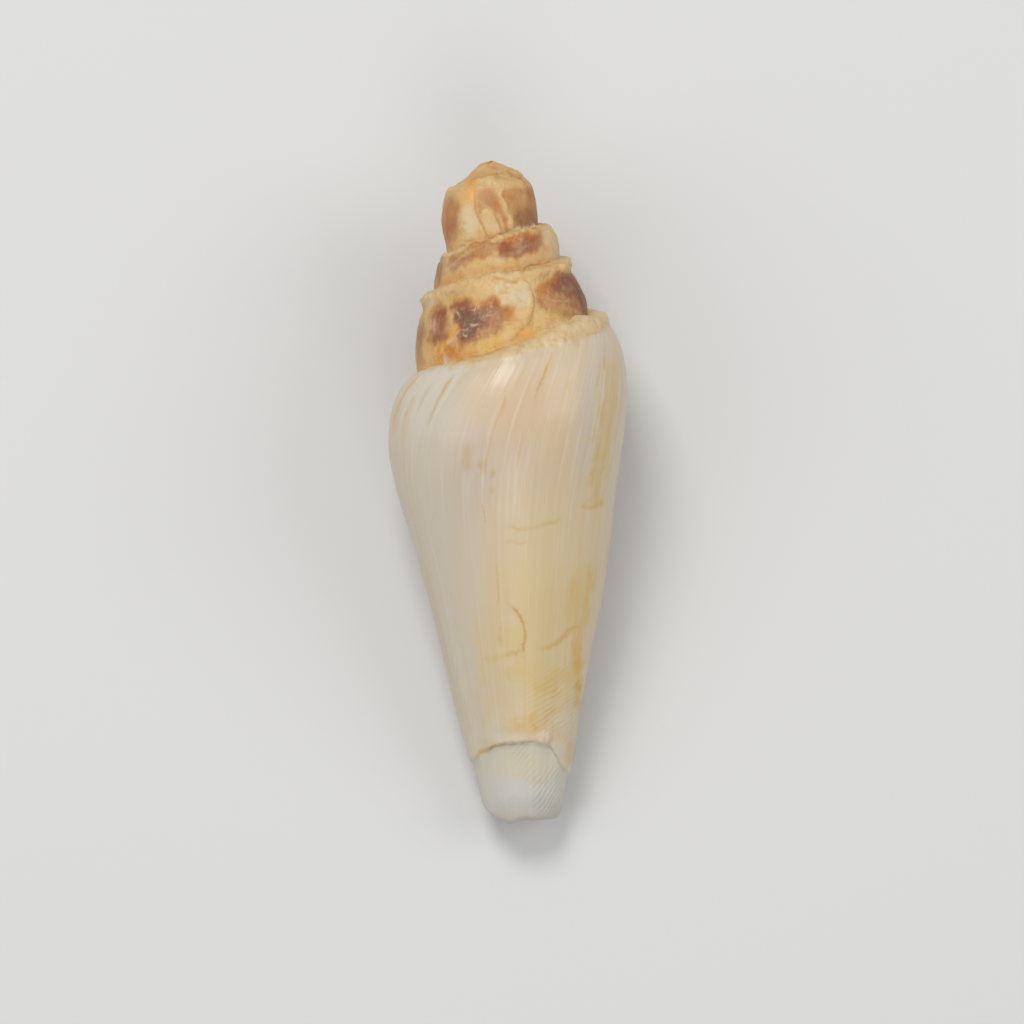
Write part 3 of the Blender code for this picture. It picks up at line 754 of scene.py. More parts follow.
        470, 366, 452, 369, 450, 356, 466, 350, 490, 342, 513, 334, 536, 328, 560, 316, 576, 308),
        "biscuit", 0.9, 8, 2.2, lift=0.07, gloss=0.35, worn=1),
    vein((470, 360, 490, 353, 513, 346, 536, 340, 560, 330), 3, "tan", 0.3, 5, 3),
    vein((524, 352, 542, 345, 560, 338, 580, 330, 600, 325), 4, "ivory", 0.7, 3, 4, lift=0.08),
    spot(568, 335, 6, 3, -20, "brown", 0.3, 4, 4),
    spot(577, 340, 9, 3, -20, "tan", 0.4, 4, 4),
    patch((590, 314, 604, 314, 602, 326, 584, 331, 560, 338, 536, 344, 520, 347, 536, 338,
        566, 328), "ivory", 0.5, 4, 3),
], "base": [
    vein((477, 758, 480, 753, 488, 749, 497, 747), 2.6, "gold", 0.7, 4, 2),
    spot(522, 764, 34, 15, 0, "bone", 0.7, 14),
    spot(528, 768, 20, 11, 10, "ivory", 0.18, 14, 3),
    spot(518, 799, 32, 14, 0, "white", 0.85, 20, 3),
    vein((511, 774, 519, 778, 530, 781, 549, 782), 3, "straw", 0.3, 5),
    spot(508, 817, 12, 4, 0, "sand", 0.2, 7, 3),
    spot(486, 790, 6, 22, -8, "bone", 0.5, 8),
    # painted shade: these two ovals darken the base towards its underside
    spot(524, 820, 46, 11, -3, "roseGrey", 0.55, 12, 3),
    spot(530, 812, 36, 15, 0, "baseShade", 0.5, 14, 3),
]}

# Thin lines, too fine for the paint: places as x and y in turn, half width in pixels, strength and
# tone, from a pale fringe at 0 over yellow stain at 0.5 to a dark line at 1: cracks, and the
# painted shade along the sutures and the broken step
strokes = {"top": [
    ((475, 187, 475.5, 209, 478, 217, 483, 226, 486, 237), 0.8, 0.6, 0.76),
    ((477, 213, 481, 211, 484, 208, 489, 207), 0.7, 0.5, 0.8),
    ((496, 217, 500, 226, 503, 234), 0.7, 0.45, 0.74),
    ((503, 190, 502.5, 196, 506, 203), 0.7, 0.45, 0.8),
    ((509, 212, 512.5, 219, 514, 228), 0.7, 0.4, 0.8),
    ((468, 180, 476, 177.5, 486, 176, 495, 174.5, 503, 172.5), 1.2, 0.4, 0.68),
    ((514, 216, 520, 216.5, 526, 215.5), 0.5, 0.55, 1),
    ((513, 220.5, 519, 220, 524, 221), 0.5, 0.45, 1),
    ((520, 211, 521, 224), 0.5, 0.35, 1),
    # a brown line along the suture, with painted shade under the ledge's edge
    ((484, 241, 497, 238, 508, 235, 515, 236, 521, 235.5, 528, 230.5, 538, 227), 0.9, 0.5, 0.85),
    ((449, 255, 454, 243, 462, 240, 480, 242), 0.7, 0.5, 0.7),
], "second": [
    # a brown line along the suture, with painted shade under the ledge's edge
    ((455, 256.5, 461.5, 252.6, 470, 247, 477, 244.5), 0.8, 0.7, 0.75),
    ((452, 266, 462, 256, 476, 249), 0.6, 0.3, 0.2),
    # these three: a dark line along the suture, with painted shade under the ledge's edge
    ((439, 290, 454, 287, 466, 283, 472, 280.5), 0.8, 0.7, 0.92),
    ((478, 276.5, 490, 275, 500, 274), 0.7, 0.35, 0.85),
    ((517, 272, 524, 270.5, 525.5, 267, 532, 265.5, 540, 265, 547, 263.5, 552, 262), 0.8, 0.7,
     0.85),
], "third": [
    ((531, 285, 534, 298, 533.5, 311, 530, 321, 520, 332, 509, 343), 0.7, 0.65, 0.86),
    ((523, 279, 531, 285, 532.5, 292), 0.7, 0.4, 0.85),
    ((512, 341, 520, 331, 527, 324), 1.4, 0.5, 0.62),
    ((534, 312, 533, 324, 531, 331), 0.6, 0.4, 0.8),
    ((458.5, 325.5, 459, 329.5, 455, 336, 449, 341.5, 445.5, 345), 0.6, 0.7, 0.1),
    ((442, 347, 444.5, 356, 447, 366), 0.6, 0.5, 0.1),
    ((438.5, 347, 437.5, 357, 440, 366), 0.7, 0.6, 0.75),
    ((453, 328, 449, 336, 442, 343, 438.5, 348), 0.6, 0.5, 0.75),
    ((493, 276.5, 497, 278.4, 506, 278.8), 1.2, 0.85, 0.68),
    ((506, 281, 512, 282, 518, 281.4), 1.3, 0.85, 0.68),
    ((524, 272, 525, 268, 528, 265.8, 532, 266.5), 0.8, 0.8, 0.75),
    ((540, 283, 545, 276, 550, 271), 1.1, 0.75, 0.62),
    ((455, 311, 458, 313, 461, 318), 0.5, 0.6, 0.05),
    ((432, 318, 430.5, 324, 431, 330), 0.45, 0.5, 0.05),
    ((435, 320, 433.5, 326, 434, 332), 0.4, 0.45, 0.05),
    ((471, 310, 476, 309, 479, 306), 0.5, 0.5, 0.05),
    ((478, 334, 479, 343, 479, 350), 0.4, 0.4, 0.1),
    ((456, 338, 457, 346, 457, 352), 0.4, 0.4, 0.1),
    ((470, 324, 475, 325, 479, 324), 0.55, 0.6, 0.05),
    ((459, 329, 465, 330.5, 469, 330), 0.55, 0.6, 0.05),
    ((462, 334.5, 468, 336), 0.6, 0.6, 0.05),
    ((486, 316, 492, 315), 0.55, 0.6, 0.05),
    ((477, 309, 478.5, 306), 0.7, 0.6, 0.05),
    ((490, 303, 492, 308), 0.6, 0.55, 0.05),
    ((547, 288, 549, 294), 0.4, 0.35, 0.1),
    ((541, 297, 552, 300, 566, 302), 0.5, 0.3, 0.15),
    ((538, 291, 539, 300, 538, 309), 0.6, 0.5, 0.72),
    ((545, 318, 556, 322, 568, 325), 0.6, 0.45, 0.75),
    ((540, 330, 550, 327, 560, 328), 0.6, 0.4, 0.72),
], "body": [
    ((452, 377, 447, 384, 441, 394, 436, 404), 0.8, 0.51, 0.49),
    ((549, 363, 545, 372, 541, 382, 537, 392, 534, 401), 0.9, 0.72, 0.53),
    ((506, 394, 503, 406, 497, 418), 0.6, 0.38, 0.51),
    ((487, 440, 485, 455, 484, 470), 0.6, 0.34, 0.53),
    ((523, 438, 519, 455), 0.5, 0.34, 0.53),
    ((600, 362, 599, 376, 596, 388), 0.7, 0.42, 0.53),
    ((530, 356, 522, 372, 514, 388), 0.6, 0.26, 0.51),
    ((504, 527, 511, 526, 518, 529.5, 527, 529, 535, 527, 549, 523, 563, 519.5), 1, 0.59, 0.42),
    ((580, 506, 585, 507.5, 590, 508.5, 596, 506, 603, 501), 1.1, 0.59, 0.47),
    ((504, 543, 511, 541, 518, 544, 528, 542), 0.9, 0.42, 0.43),
    ((481, 503, 484, 512, 486, 524), 0.5, 0.47, 0.54),
    ((496, 565, 498, 576, 498.5, 590, 498, 604), 0.7, 0.51, 0.49),
    ((509, 604, 516, 611, 521, 618, 524, 627, 525, 637, 523.5, 646, 524, 656), 0.8, 0.9, 0.6),
    ((505, 656, 510, 652.5, 516, 653, 521, 650), 1.2, 0.77, 0.49),
    ((502, 623, 499.5, 632, 500, 641, 502, 647), 1, 0.51, 0.48),
    ((541, 649, 549, 647, 556, 643.5, 563, 637, 570, 629.5, 576, 626, 583, 626), 1.1, 0.77, 0.47),
    ((532, 712, 530, 718, 533, 724, 538, 730), 0.7, 0.4, 0.5),
    ((584, 335, 592, 333.6, 603, 331.3), 0.7, 0.5, 0.55),
    # a dark line along the broken step: a crack, with painted shadow under its edge
    ((484, 749.5, 494, 746.2, 503.6, 742.8, 514, 742.2, 525.5, 740.8, 536, 741.5), 0.8, 0.45, 0.9),
], "base": [
    # a dark line along the broken step: a crack, with painted shadow under its edge
    ((484, 751.5, 494, 747.7, 504, 744.5, 514, 744.2, 525.5, 742.2, 536, 742.5), 0.8, 0.45, 0.9),
    ((546, 745.5, 551, 748, 556, 756, 558.5, 763, 564, 770), 0.7, 0.35, 0.8),
]}


# The worn surface: the height and size of its bumps in millimetres, and their seed, then the growth
# lines, the gloss and the cords
wear = {
    "ledge": (0.26, 1.1, 61),           # the worn ledges of the spire
    "ledgeFine": (0.1, 0.42, 63),
    "collar": (0.07, 0.7, 65),          # the healed edge at the top of the last turn
    "collarFine": (0.07, 0.4, 67),
    "step": (0.13, 1.3, 71),            # the broken step and the rim of the base
    "spire": (0.06, 1.1, 81),
    "spireFine": (0.02, 0.45, 91),
    "body": (0.03, 4.0, 101),
    # the rows and azimuths over which those bumps set in and die out
    "ledgeRows": ((0.3, 1.0), (2.4, 3.6)),
    "collarRows": ((0.4, 1.2), (2.2, 3.4)),
    "collarAzimuths": ((-110, -95), (-20, 10)),
    "growthHeight": 0.024,
    "growthBend": 36.0,                 # degrees that a growth line sweeps forward
    "bendDepth": 6.0,                   # below the suture, where most of the sweep is done
    "growthRing": (9, 72),              # radius of its noise's ring, and degrees to a millimetre up
    "hollowClearance": 0.12,            # how far the hollow's wall stays above the floor
    # the smooth last turn takes over from the worn spire between these azimuths, and these rows
    "bodyAzimuths": (-250, -120),
    "bodyRows": (7, 8.5),
    "gloss": {"spire": 0.35, "body": 0.8, "base": 0.45, "inside": 0.85},
    # grooves above and below the broken step: spacing in depth, slope in millimetres per degree
    "cordSpacing": (0.52, 0.64),
    "cordSlope": (0.052, 0.079),
    "cordSwing": (2.4, 0.9),            # size of the noise they sway by, and how many grooves
    "cordPatches": (-0.6, 0.25),        # of another noise, which they are broken into
    "cordStart": (-178, -130),
    "upperCordDepths": (43, 51),
    "upperCordEnds": ((-40, -10, 0.7), (-10, 15, 1.0)),     # azimuths, and how much is lost
    "lowerCordEnd": (-8, 24),
    "lowerCordLean": (6, 55),           # degrees to a millimetre of that end, from this depth
}

# How the marks and the thin lines are painted
painting = {
    "warp": 1.5,                        # pixels that a mark's warp of 1 moves its edge
    "rim": 0.75,                        # strength of a rusty rim
    "lineTaper": (0.25, 5),             # least width of a line's ends, and how fast it rises
    "strokeTaper": (0.2, 6),
    "strokeWarp": 0.8,
    "strokeReach": 12.0,                # half widths from a thin line where it is forgotten
    "strokeFade": (3.5, 6),             # pixels from it over which it fades
}

# what each raw point of the grid knows, with the points of the end cap after the sheets
extra = len(points) - len(flat["row"])
capAzimuth = np.append(np.tile(flat["azimuth"][endLoop], len(shell["endRings"])), 0.0)
azimuth = np.append(flat["azimuth"], capAzimuth)
depth = np.append(flat["depth"], np.full(extra, shell["endDepth"]))
row = np.append(flat["row"], np.full(extra, float(endRow)))
outside = np.arange(len(row)) < sheets["inner"]["ids"][0, 0]
outside[-extra:] = True
turn = np.round(azimuth / 360)
suture = sutureDepth(azimuth)
below = np.maximum(depth - suture, 0)
whorlShare = np.clip(below / np.maximum(sutureDepth(azimuth + 360) - suture, 0.1), 0, 1)


def normalsOf(points, faces):
    # each face's normal, as long as the face is large, added up at its corners
    a, b, c = (points[faces[:, k]] for k in range(3))
    faceNormals = np.cross(b - a, c - a)
    total = np.stack([sum(np.bincount(faces[:, k], part, len(points)) for k in range(3))
                      for part in faceNormals.T], -1)
    return total / np.maximum(np.linalg.norm(total, axis=1), 1e-12)[:, None]


base = points[samePoint]
normals = normalsOf(points, faces)[samePoint]
x, y = pixelsOf(base)
seen = fade(normals @ viewAxes()[2], -0.2, 0.05) * outside        # 0 where turned from the camera

# growth lines: constant along a line that sweeps forward below the suture
growthAzimuth = azimuth - wear["growthBend"] * (1 - np.exp(-below / wear["bendDepth"]))
growthRadius, growthPitch = wear["growthRing"]
growth = ringPlaces(growthAzimuth, growthRadius, azimuth / growthPitch + below)

# how much of each ground a place has: the smooth last turn, the worn spire and the bare base
bodyLook = np.maximum(fade(azimuth, *wear["bodyAzimuths"]), fade(row, *wear["bodyRows"]))
spireLook = (1 - bodyLook) * outside
baseLook = fade(row, stepRow - 0.1, stepRow + 0.3) * outside


def growthGrain(size, seed, slow, layers=3):
    # a grain drawn out along the growth lines: down the shell it changes slow times as fast
    return grain(growth * np.array([1, 1, slow]), size, seed, layers)


def mixed(paint, name, amount):
    # from the paint towards a named colour by the amount
    return paint + (np.array(colours[name]) - paint) * np.clip(amount, 0, 1)[:, None]


def groundPaint():
    # colours of the shell without its marks, by the place on the whorl and wandering noises:
    # each colour sets in over a span of its measure and is mixed in by a share
    cloud, fine = grain(base, 3.5, 11), grain(base, 1.1, 23)
    wander = whorlShare + 0.12 * fine + 0.08 * cloud
    paint = np.tile(colours["sand"], (len(base), 1))
    paint = mixed(paint, "tan", fade(cloud, -0.2, 0.5) * 0.6)
    paint = mixed(paint, "lamella", 1 - fade(wander, 0.1, 0.3))
    paint = mixed(paint, "ivory", fade(fine, 0.05, 0.5) * 0.5)
    paint = mixed(paint, "brown", fade(-fine, 0.2, 0.6) * 0.3)
    amber = fade(wander, 0.72, 0.9) * fade(turn, -2.5, -1.5) * spireLook
    paint = mixed(paint, "amber", amber * 0.6)
    blotch = fade(grain(growth, 4.0, 31), 0.05, 0.25) * (1 - seen) * spireLook
    blotch = blotch * between(wander, (0.28, 0.36), (0.66, 0.78))
    paint = mixed(paint, "mauve", blotch)
    paint = mixed(paint, "purple", blotch * fade(cloud, -0.1, 0.3) * 0.8)
    body = np.tile(colours["cream"], (len(base), 1))
    streak = growthGrain(2.6, 41, 0.04)
    body = mixed(body, "greyWhite", fade(streak, 0.0, 0.5) * 0.5)
    body = mixed(body, "butter", fade(-streak, 0.05, 0.5) * 0.4)
    stain = fade(growthGrain(1.6, 151, 0.05), 0.3, 0.65) * (1 - seen)
    body = mixed(body, "tan", stain * fade(cloud, -0.3, 0.3) * 0.4)
    body = mixed(body, "bone", fade(depth, 40, 52) * 0.5)
    body = mixed(body, "bone", baseLook)
    body = mixed(body, "white", baseLook * fade(depth, 54, 58) * 0.8)
    paint = paint + (body - paint) * bodyLook[:, None]
    return np.where(outside[:, None], paint, mixed(body, "milk", np.full(len(base), 0.7)))


def sidedDistance(x, y, corners):
    # distance to a line, which side of it the place is on, and the share along it: the side is
    # the sign of the cross product with the line's direction at the nearest place
    nearest, share = lineDistance(x, y, corners)
    lengths = np.concatenate([[0], np.cumsum(np.hypot(*np.diff(corners, axis=0).T))])
    at = share * lengths[-1]
    startX, startY = (np.interp(at - 0.5, lengths, column) for column in corners.T)
    endX, endY = (np.interp(at + 0.5, lengths, column) for column in corners.T)
    cross = (endX - startX) * (y - startY) - (endY - startY) * (x - startX)
    return nearest, np.where(cross < 0, -1, 1), share


def tapered(share, least, rise):
    # from its least at both ends of a line up to 1 further in
    return np.clip(least + rise * np.minimum(share, 1 - share), 0, 1)


def markAmount(mark, x, y, wider=0):
    # 1 well inside a mark and 0 well outside: half way at its edge, over its softness
    if "line" in mark:
        away, share = lineDistance(x, y, mark["line"])
        away = away - mark["width"] / 2 * tapered(share, *painting["lineTaper"])
    elif "area" in mark:
        away = areaDistance(x, y, mark["area"])
    else:
        away = ovalDistance(x, y, mark["oval"])
    return 1 - fade(away - wider, -mark["soft"] / 2, mark["soft"] / 2)


groups = {
    "top": turn <= -3, "second": turn == -2, "third": turn == -1,
    "body": (turn == 0) & (row < stepRow + 0.01), "base": (turn == 0) & (row > stepRow - 0.01),
}
paint = groundPaint()
gloss = (wear["gloss"]["spire"] * spireLook + wear["gloss"]["body"] * bodyLook * (1 - baseLook)
         + wear["gloss"]["base"] * baseLook)
gloss = np.where(outside, gloss, wear["gloss"]["inside"])
lift = np.zeros(len(base))
warpX = grain(base, 0.75, 51) + 0.5 * grain(base, 0.3, 52, 1)
warpY = grain(base, 0.75, 53) + 0.5 * grain(base, 0.3, 54, 1)
wornHere = spireLook.copy()
streakGaps = fade(growthGrain(0.9, 141, 0.05), -0.45, 0.35)
for name, group in marks.items():
    index = np.flatnonzero(groups[name] & (seen > 0))
    for mark in group:
        warp = mark["warp"] * painting["warp"]
        place = (x[index] + warp * warpX[index], y[index] + warp * warpY[index])
        if "rim" in mark:
            around = markAmount(mark, *place, mark["rim"]) * seen[index]
            paint[index] = mixed(paint[index], "rust", around * painting["rim"])
        amount = markAmount(mark, *place) * seen[index]
        amount = amount * (1 - mark.get("streaks", 0) * streakGaps[index])
        touched, amount = index[amount > 0], amount[amount > 0]
        paint[touched] = mixed(paint[touched], mark["colour"], amount * mark["strength"])
        lift[touched] += mark.get("lift", 0) * amount
        for key, values in (("worn", wornHere), ("gloss", gloss)):
            if key in mark:
                values[touched] += (mark[key] - values[touched]) * amount

# thin lines: how many half widths away the nearest one is, with a sign for its side so that it
# stays sharp between the grid's points, its strength and its tone
strokeAway = np.full(len(base), painting["strokeReach"])
strokeStrength, strokeTone = np.zeros(len(base)), np.zeros(len(base))
for name, group in strokes.items():
    index = np.flatnonzero(groups[name] & (seen > 0))
    wanderedX = x[index] + painting["strokeWarp"] * warpX[index]
    wanderedY = y[index] + painting["strokeWarp"] * warpY[index]
    for places, halfWidth, strength, tone in group:
        away, side, share = sidedDistance(wanderedX, wanderedY, np.reshape(places, (-1, 2)))
        reach = tapered(share, *painting["strokeTaper"])
        nearer = away / halfWidth < np.abs(strokeAway[index])
        at = index[nearer]
        strokeAway[at] = (np.minimum(away / halfWidth, painting["strokeReach"]) * side)[nearer]
        left = 1 - fade(away, *painting["strokeFade"])
        strokeStrength[at] = (strength * reach * left * seen[index])[nearer]
        strokeTone[at] = tone
print("surface painted")


def relief():
    # bumps by the place on the shell, the growth lines, and the marks' own lift
    ledge = between(row, *wear["ledgeRows"]) * outside
    ledge = ledge * np.maximum(spireLook, 0.5 * (1 - fade(row, 1.5, 2.5)))
    collar = between(row, *wear["collarRows"]) * between(azimuth, *wear["collarAzimuths"])
    step = np.exp(-((row - stepRow) / 0.9) ** 2) + 0.6 * fade(row, endRow - 0.8, endRow)
    collar = collar * bodyLook
    weights = {"ledge": ledge, "ledgeFine": ledge, "collar": collar, "collarFine": collar,
               "step": step * outside, "spire": spireLook, "spireFine": spireLook, "body": bodyLook}
    height = lift + wear["growthHeight"] * growthGrain(0.8, 111, 0.04, 2) * (0.4 + 0.6 * bodyLook)
    for name, weight in weights.items():
        high, size, seed = wear[name]
        height = height + weight * high * grain(base, size, seed)
    return height


height = relief() * fade(depth, 0.0, 1.0)
raised = base + normals * height[:, None]
raised[:, 2] = np.maximum(raised[:, 2], np.where(outside, 0.0, wear["hollowClearance"]))
points[samePoint] = raised[samePoint]

# the mesh, without the points that nothing uses
used, solid = np.unique(faces, return_inverse=True)
solid = solid.reshape(-1, 3)
mesh = bpy.data.meshes.new("coneShell")
mesh.from_pydata(points[used] * mm, [], solid)
mesh.polygons.foreach_set("use_smooth", np.ones(len(solid), bool))


def setAttribute(name, *columns, kind="FLOAT_VECTOR", key="vector"):
    # columns of values at the grid's raw points, given to the corners of the faces
    values = np.column_stack(columns)[rawFaces].astype(np.float32)
    mesh.attributes.new(name, kind, "CORNER").data.foreach_set(key, values.ravel())


# how streaky: most on the last turn where it isn't worn, less further down and on the rest
streaky = bodyLook * (1 - np.minimum(wornHere, bodyLook)) * (1 - 0.45 * fade(depth, 24, 38))
streaky = np.maximum(streaky * (1 - 0.85 * baseLook), 0.35 * spireLook)
setAttribute("paint", paint, np.ones(len(paint)), kind="FLOAT_COLOR", key="color")
setAttribute("growthPlace", growth)
setAttribute("finish", gloss, streaky, wornHere)
setAttribute("strokes", strokeAway, strokeStrength, strokeTone)

# grooves at the lower end, one set above the broken step and one below it: how many grooves down,
# and how strong
fromMiddle = (azimuth + 180) % 360 - 180
swing = grain(base, wear["cordSwing"][0], 131) * wear["cordSwing"][1]
phases = [(depth - slope * fromMiddle) / spacing + swing
          for slope, spacing in zip(wear["cordSlope"], wear["cordSpacing"])]
kept = fade(grain(base, 2.0, 121), *wear["cordPatches"]) * outside
kept = kept * fade(fromMiddle, *wear["cordStart"])
upper = fade(depth, *wear["upperCordDepths"]) * kept
for start, end, lost in wear["upperCordEnds"]:
    upper = upper * (1 - lost * fade(fromMiddle, start, end))
upper = upper * (1 - fade(row, stepRow - 0.7, stepRow - 0.1))
lean, leanDepth = wear["lowerCordLean"]
leaning = fromMiddle + lean * (depth - leanDepth)
lower = fade(row, stepRow + 0.1, stepRow + 0.8) * (1 - fade(leaning, *wear["lowerCordEnd"])) * kept
setAttribute("upperCords", phases[0], upper, 0 * row)
setAttribute("lowerCords", phases[1], lower, 0 * row)
mesh.validate(clean_customdata=False)
mesh.update()
piece = bpy.data.objects.new("wornConeShell", mesh)
bpy.context.scene.collection.objects.link(piece)
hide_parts("shell")
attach(piece, "root")
print("shell made", len(mesh.polygons), "triangles")


# The shell's material. A span is a noise's low and high end and what they are taken to.
finish = {
    "streakSize": 0.3,                  # width of the finest growth streaks, in millimetres
    "warmSize": 0.51,
    "broadSize": 1.3,
    "streakLength": 0.035,              # how much slower they change down the shell
    "speckSize": 0.26,
    "cloudSize": 1.1,
    "paleStreak": (0.70, 0.65, 0.56),
    "paleSpans": ((0.48, 0.7, 0.0, 0.34), (0.4, 0.62, 0.1, 1.0)),
    "warmTint": (0.95, 0.83, 0.64),
    "warmSpans": ((0.5, 0.7, 0.0, 0.42), (0.6, 0.4, 0.2, 1.0)),
    "speckTint": (0.86, 0.66, 0.42),
    "cloudSpan": (0.5, 0.33, 0.0, 0.62),
    "speckSpan": (0.53, 0.73, 0.0, 0.34),
    "chalk": (0.72, 0.54, 0.30),
    "chalkShare": 0.6,
    "chalkSpan": (0.52, 0.68, 0.0, 0.3),
    "grooveTint": (0.93, 0.85, 0.66),
    "grooveSpan": (0.4, -1.0, 0.0, 0.4),
    "strokeColours": ((0.66, 0.52, 0.36), (0.56, 0.37, 0.12), (0.46, 0.22, 0.05),
                      (0.17, 0.10, 0.055)),
    "strokeTones": (0.0, 0.45, 0.7, 1.0),
    "strokeWidths": (0.35, 0.9, 0.6, 1.1),  # pale lines spread wider than dark ones
    "strokeRagged": (0.3, 0.7, -0.5, 0.9),
    "strokeEdge": (0.1, 2.5, 1.0, 0.0),     # over half widths from the line
    "strokeGaps": (0.35, 0.55, 0.45, 1.0),
    "sunkTones": (0.6, 1.0),               # which lines are sunk
    "roughSpan": (0.0, 1.0, 0.62, 0.28),    # from worn dull to still glossy
    "dulledSpan": (0.3, 0.7, -0.07, 0.07),
    "ridgeSize": 0.5,
    "linesBump": 0.045,                 # heights of the bumps, in millimetres
    "speckBump": 0.025,
    "cordBump": {"upperCords": 0.017, "lowerCords": 0.011},
    "cloudBump": 0.07,
    "strokeBump": 0.04,
    "ior": 1.5,
    "specular": 0.35,
}
material = bpy.data.materials.new("wornShellSurface")
material.use_nodes = True
tree = material.node_tree
tree.nodes.clear()


def addNode(kind, settings=None, **inputs):
    # a node with its settings, and each input, by name or by a letter and its number, given as a
    # value or as another node's output
    node = tree.nodes.new(kind)
    for key, value in (settings or {}).items():
        setattr(node, key, value)
    for key, value in inputs.items():
        socket = node.inputs[int(key[1:]) if key[1:].isdigit() else key]
        if isinstance(value, bpy.types.NodeSocket):
            tree.links.new(value, socket)
        else:
            socket.default_value = value
    return node


def oneMath(operation, value, **second):
    # the operation on one value, or with i1 on two
    return addNode("ShaderNodeMath", {"operation": operation}, i0=value, **second).outputs[0]


def mathNode(operation, first, *others):
    # the operation on the values, two by two from the left
    for other in others:
        first = oneMath(operation, first, i1=other)
    return first


def times(*values):
    # their product
    return mathNode("MULTIPLY", *values)


def scaled(vector, factors):
    # each part of the vector times its factor
    return addNode("ShaderNodeVectorMath", {"operation": "MULTIPLY"}, i0=vector,
                   i1=factors).outputs[0]


def noiseNode(vector, size, detail=3.0, roughness=0.55):
    # a noise with features about as wide as size, from 0 to 1
    return addNode("ShaderNodeTexNoise", Vector=vector, Scale=1 / size, Detail=detail,
                   Roughness=roughness).outputs[0]


def mixColour(amount, first, second, blend="MIX"):
    # from the first colour towards the second, or towards the product of both, by the amount
    second = second if isinstance(second, bpy.types.NodeSocket) else (*second, 1)
    return addNode("ShaderNodeMix", {"data_type": "RGBA", "blend_type": blend}, i0=amount,
                   i6=first, i7=second).outputs[2]


def spread(value, low, high, start=0.0, end=1.0):
    # a value between low and high taken to between start and end, level at both
    return addNode("ShaderNodeMapRange", {"interpolation_type": "SMOOTHSTEP"}, i0=value, i1=low,
                   i2=high, i3=start, i4=end).outputs[0]


def shellSurface():
    # the paint with its streaks, specks, grooves and thin lines, then the gloss and the bumps
    output, shader = addNode("ShaderNodeOutputMaterial"), addNode("ShaderNodeBsdfPrincipled")
    tree.links.new(shader.outputs[0], output.inputs[0])
    read = {name: addNode("ShaderNodeAttribute", {"attribute_name": name}).outputs
            for name in ("paint", "growthPlace", "finish", "strokes", "upperCords", "lowerCords")}
    split = {name: addNode("ShaderNodeSeparateXYZ", Vector=read[name]["Vector"]).outputs
             for name in ("finish", "strokes", "upperCords", "lowerCords")}
    place = scaled(addNode("ShaderNodeTexCoord").outputs["Object"], (1 / mm,) * 3)
    glossHere, bodyHere, spireHere = split["finish"]
    strokeSide, strokeHere, toneHere = split["strokes"]

    # noises: streaks along the growth lines, and specks and clouds on the worn spire
    lines = scaled(read["growthPlace"]["Vector"], (1.0, 1.0, finish["streakLength"]))
    fine = noiseNode(lines, finish["streakSize"], 4.0, 0.6)
    other = noiseNode(scaled(lines, (1.0, 1.0, -1.0)), finish["warmSize"])
    broad = noiseNode(lines, finish["broadSize"])
    speck = noiseNode(place, finish["speckSize"], 3.0, 0.65)
    cloud = noiseNode(place, finish["cloudSize"], 5.0, 0.65)

    colour = read["paint"]["Color"]
    fineSpan, broadSpan = finish["paleSpans"]
    amount = times(spread(fine, *fineSpan), spread(broad, *broadSpan), bodyHere)
    colour = mixColour(amount, colour, finish["paleStreak"])
    fineSpan, broadSpan = finish["warmSpans"]
    amount = times(spread(other, *fineSpan), spread(broad, *broadSpan), bodyHere)
    colour = mixColour(amount, colour, finish["warmTint"], "MULTIPLY")
    dark = mixColour(1.0, colour, finish["speckTint"], "MULTIPLY")
    colour = mixColour(times(spread(cloud, *finish["cloudSpan"]), spireHere), colour, dark)
    colour = mixColour(times(spread(speck, *finish["speckSpan"]), spireHere), colour, dark)
    pale = mixColour(finish["chalkShare"], colour, finish["chalk"])
    colour = mixColour(times(spread(cloud, *finish["chalkSpan"]), spireHere), colour, pale)

    # the cords are sine waves, and the grooves between them a little warmer
    ridges = noiseNode(lines, finish["ridgeSize"], 1.0)
    bumps = [times(ridges, bodyHere, finish["linesBump"]),
             times(speck, spireHere, finish["speckBump"]),
             times(cloud, spireHere, finish["cloudBump"])]
    for name, high in finish["cordBump"].items():
        phase, strength = split[name][0], split[name][1]
        wave = oneMath("SINE", times(phase, 2 * math.pi))
        groove = times(spread(wave, *finish["grooveSpan"]), strength)
        colour = mixColour(groove, colour, finish["grooveTint"], "MULTIPLY")
        bumps.append(times(wave, strength, high))

    # thin lines: strong at their middle, fading over half widths from it, broken by the noises
    away = times(oneMath("ABSOLUTE", strokeSide), spread(toneHere, *finish["strokeWidths"]))
    away = mathNode("ADD", away, spread(speck, *finish["strokeRagged"]))
    stroke = times(spread(away, *finish["strokeEdge"]), strokeHere,
                   spread(cloud, *finish["strokeGaps"]))
    ramp = addNode("ShaderNodeValToRGB", Fac=toneHere)
    stops = ramp.color_ramp.elements
    while len(stops) < len(finish["strokeTones"]):
        stops.new(0.5)
    for stop, tone, tint in zip(stops, finish["strokeTones"], finish["strokeColours"]):
        stop.position, stop.color = tone, (*tint, 1)
    colour = mixColour(stroke, colour, ramp.outputs["Color"])
    bumps.append(times(stroke, spread(toneHere, *finish["sunkTones"]), -finish["strokeBump"]))

    rough = times(spread(cloud, *finish["dulledSpan"]), spireHere)
    rough = mathNode("ADD", spread(glossHere, *finish["roughSpan"]), rough)
    height = times(mathNode("ADD", *bumps), mm)
    bump = addNode("ShaderNodeBump", Height=height, Distance=1.0, Strength=1.0)
    for name, value in (("Base Color", colour), ("Roughness", rough), ("Normal", bump.outputs[0])):
        tree.links.new(value, shader.inputs[name])
    shader.inputs["IOR"].default_value = finish["ior"]
    shader.inputs["Specular IOR Level"].default_value = finish["specular"]


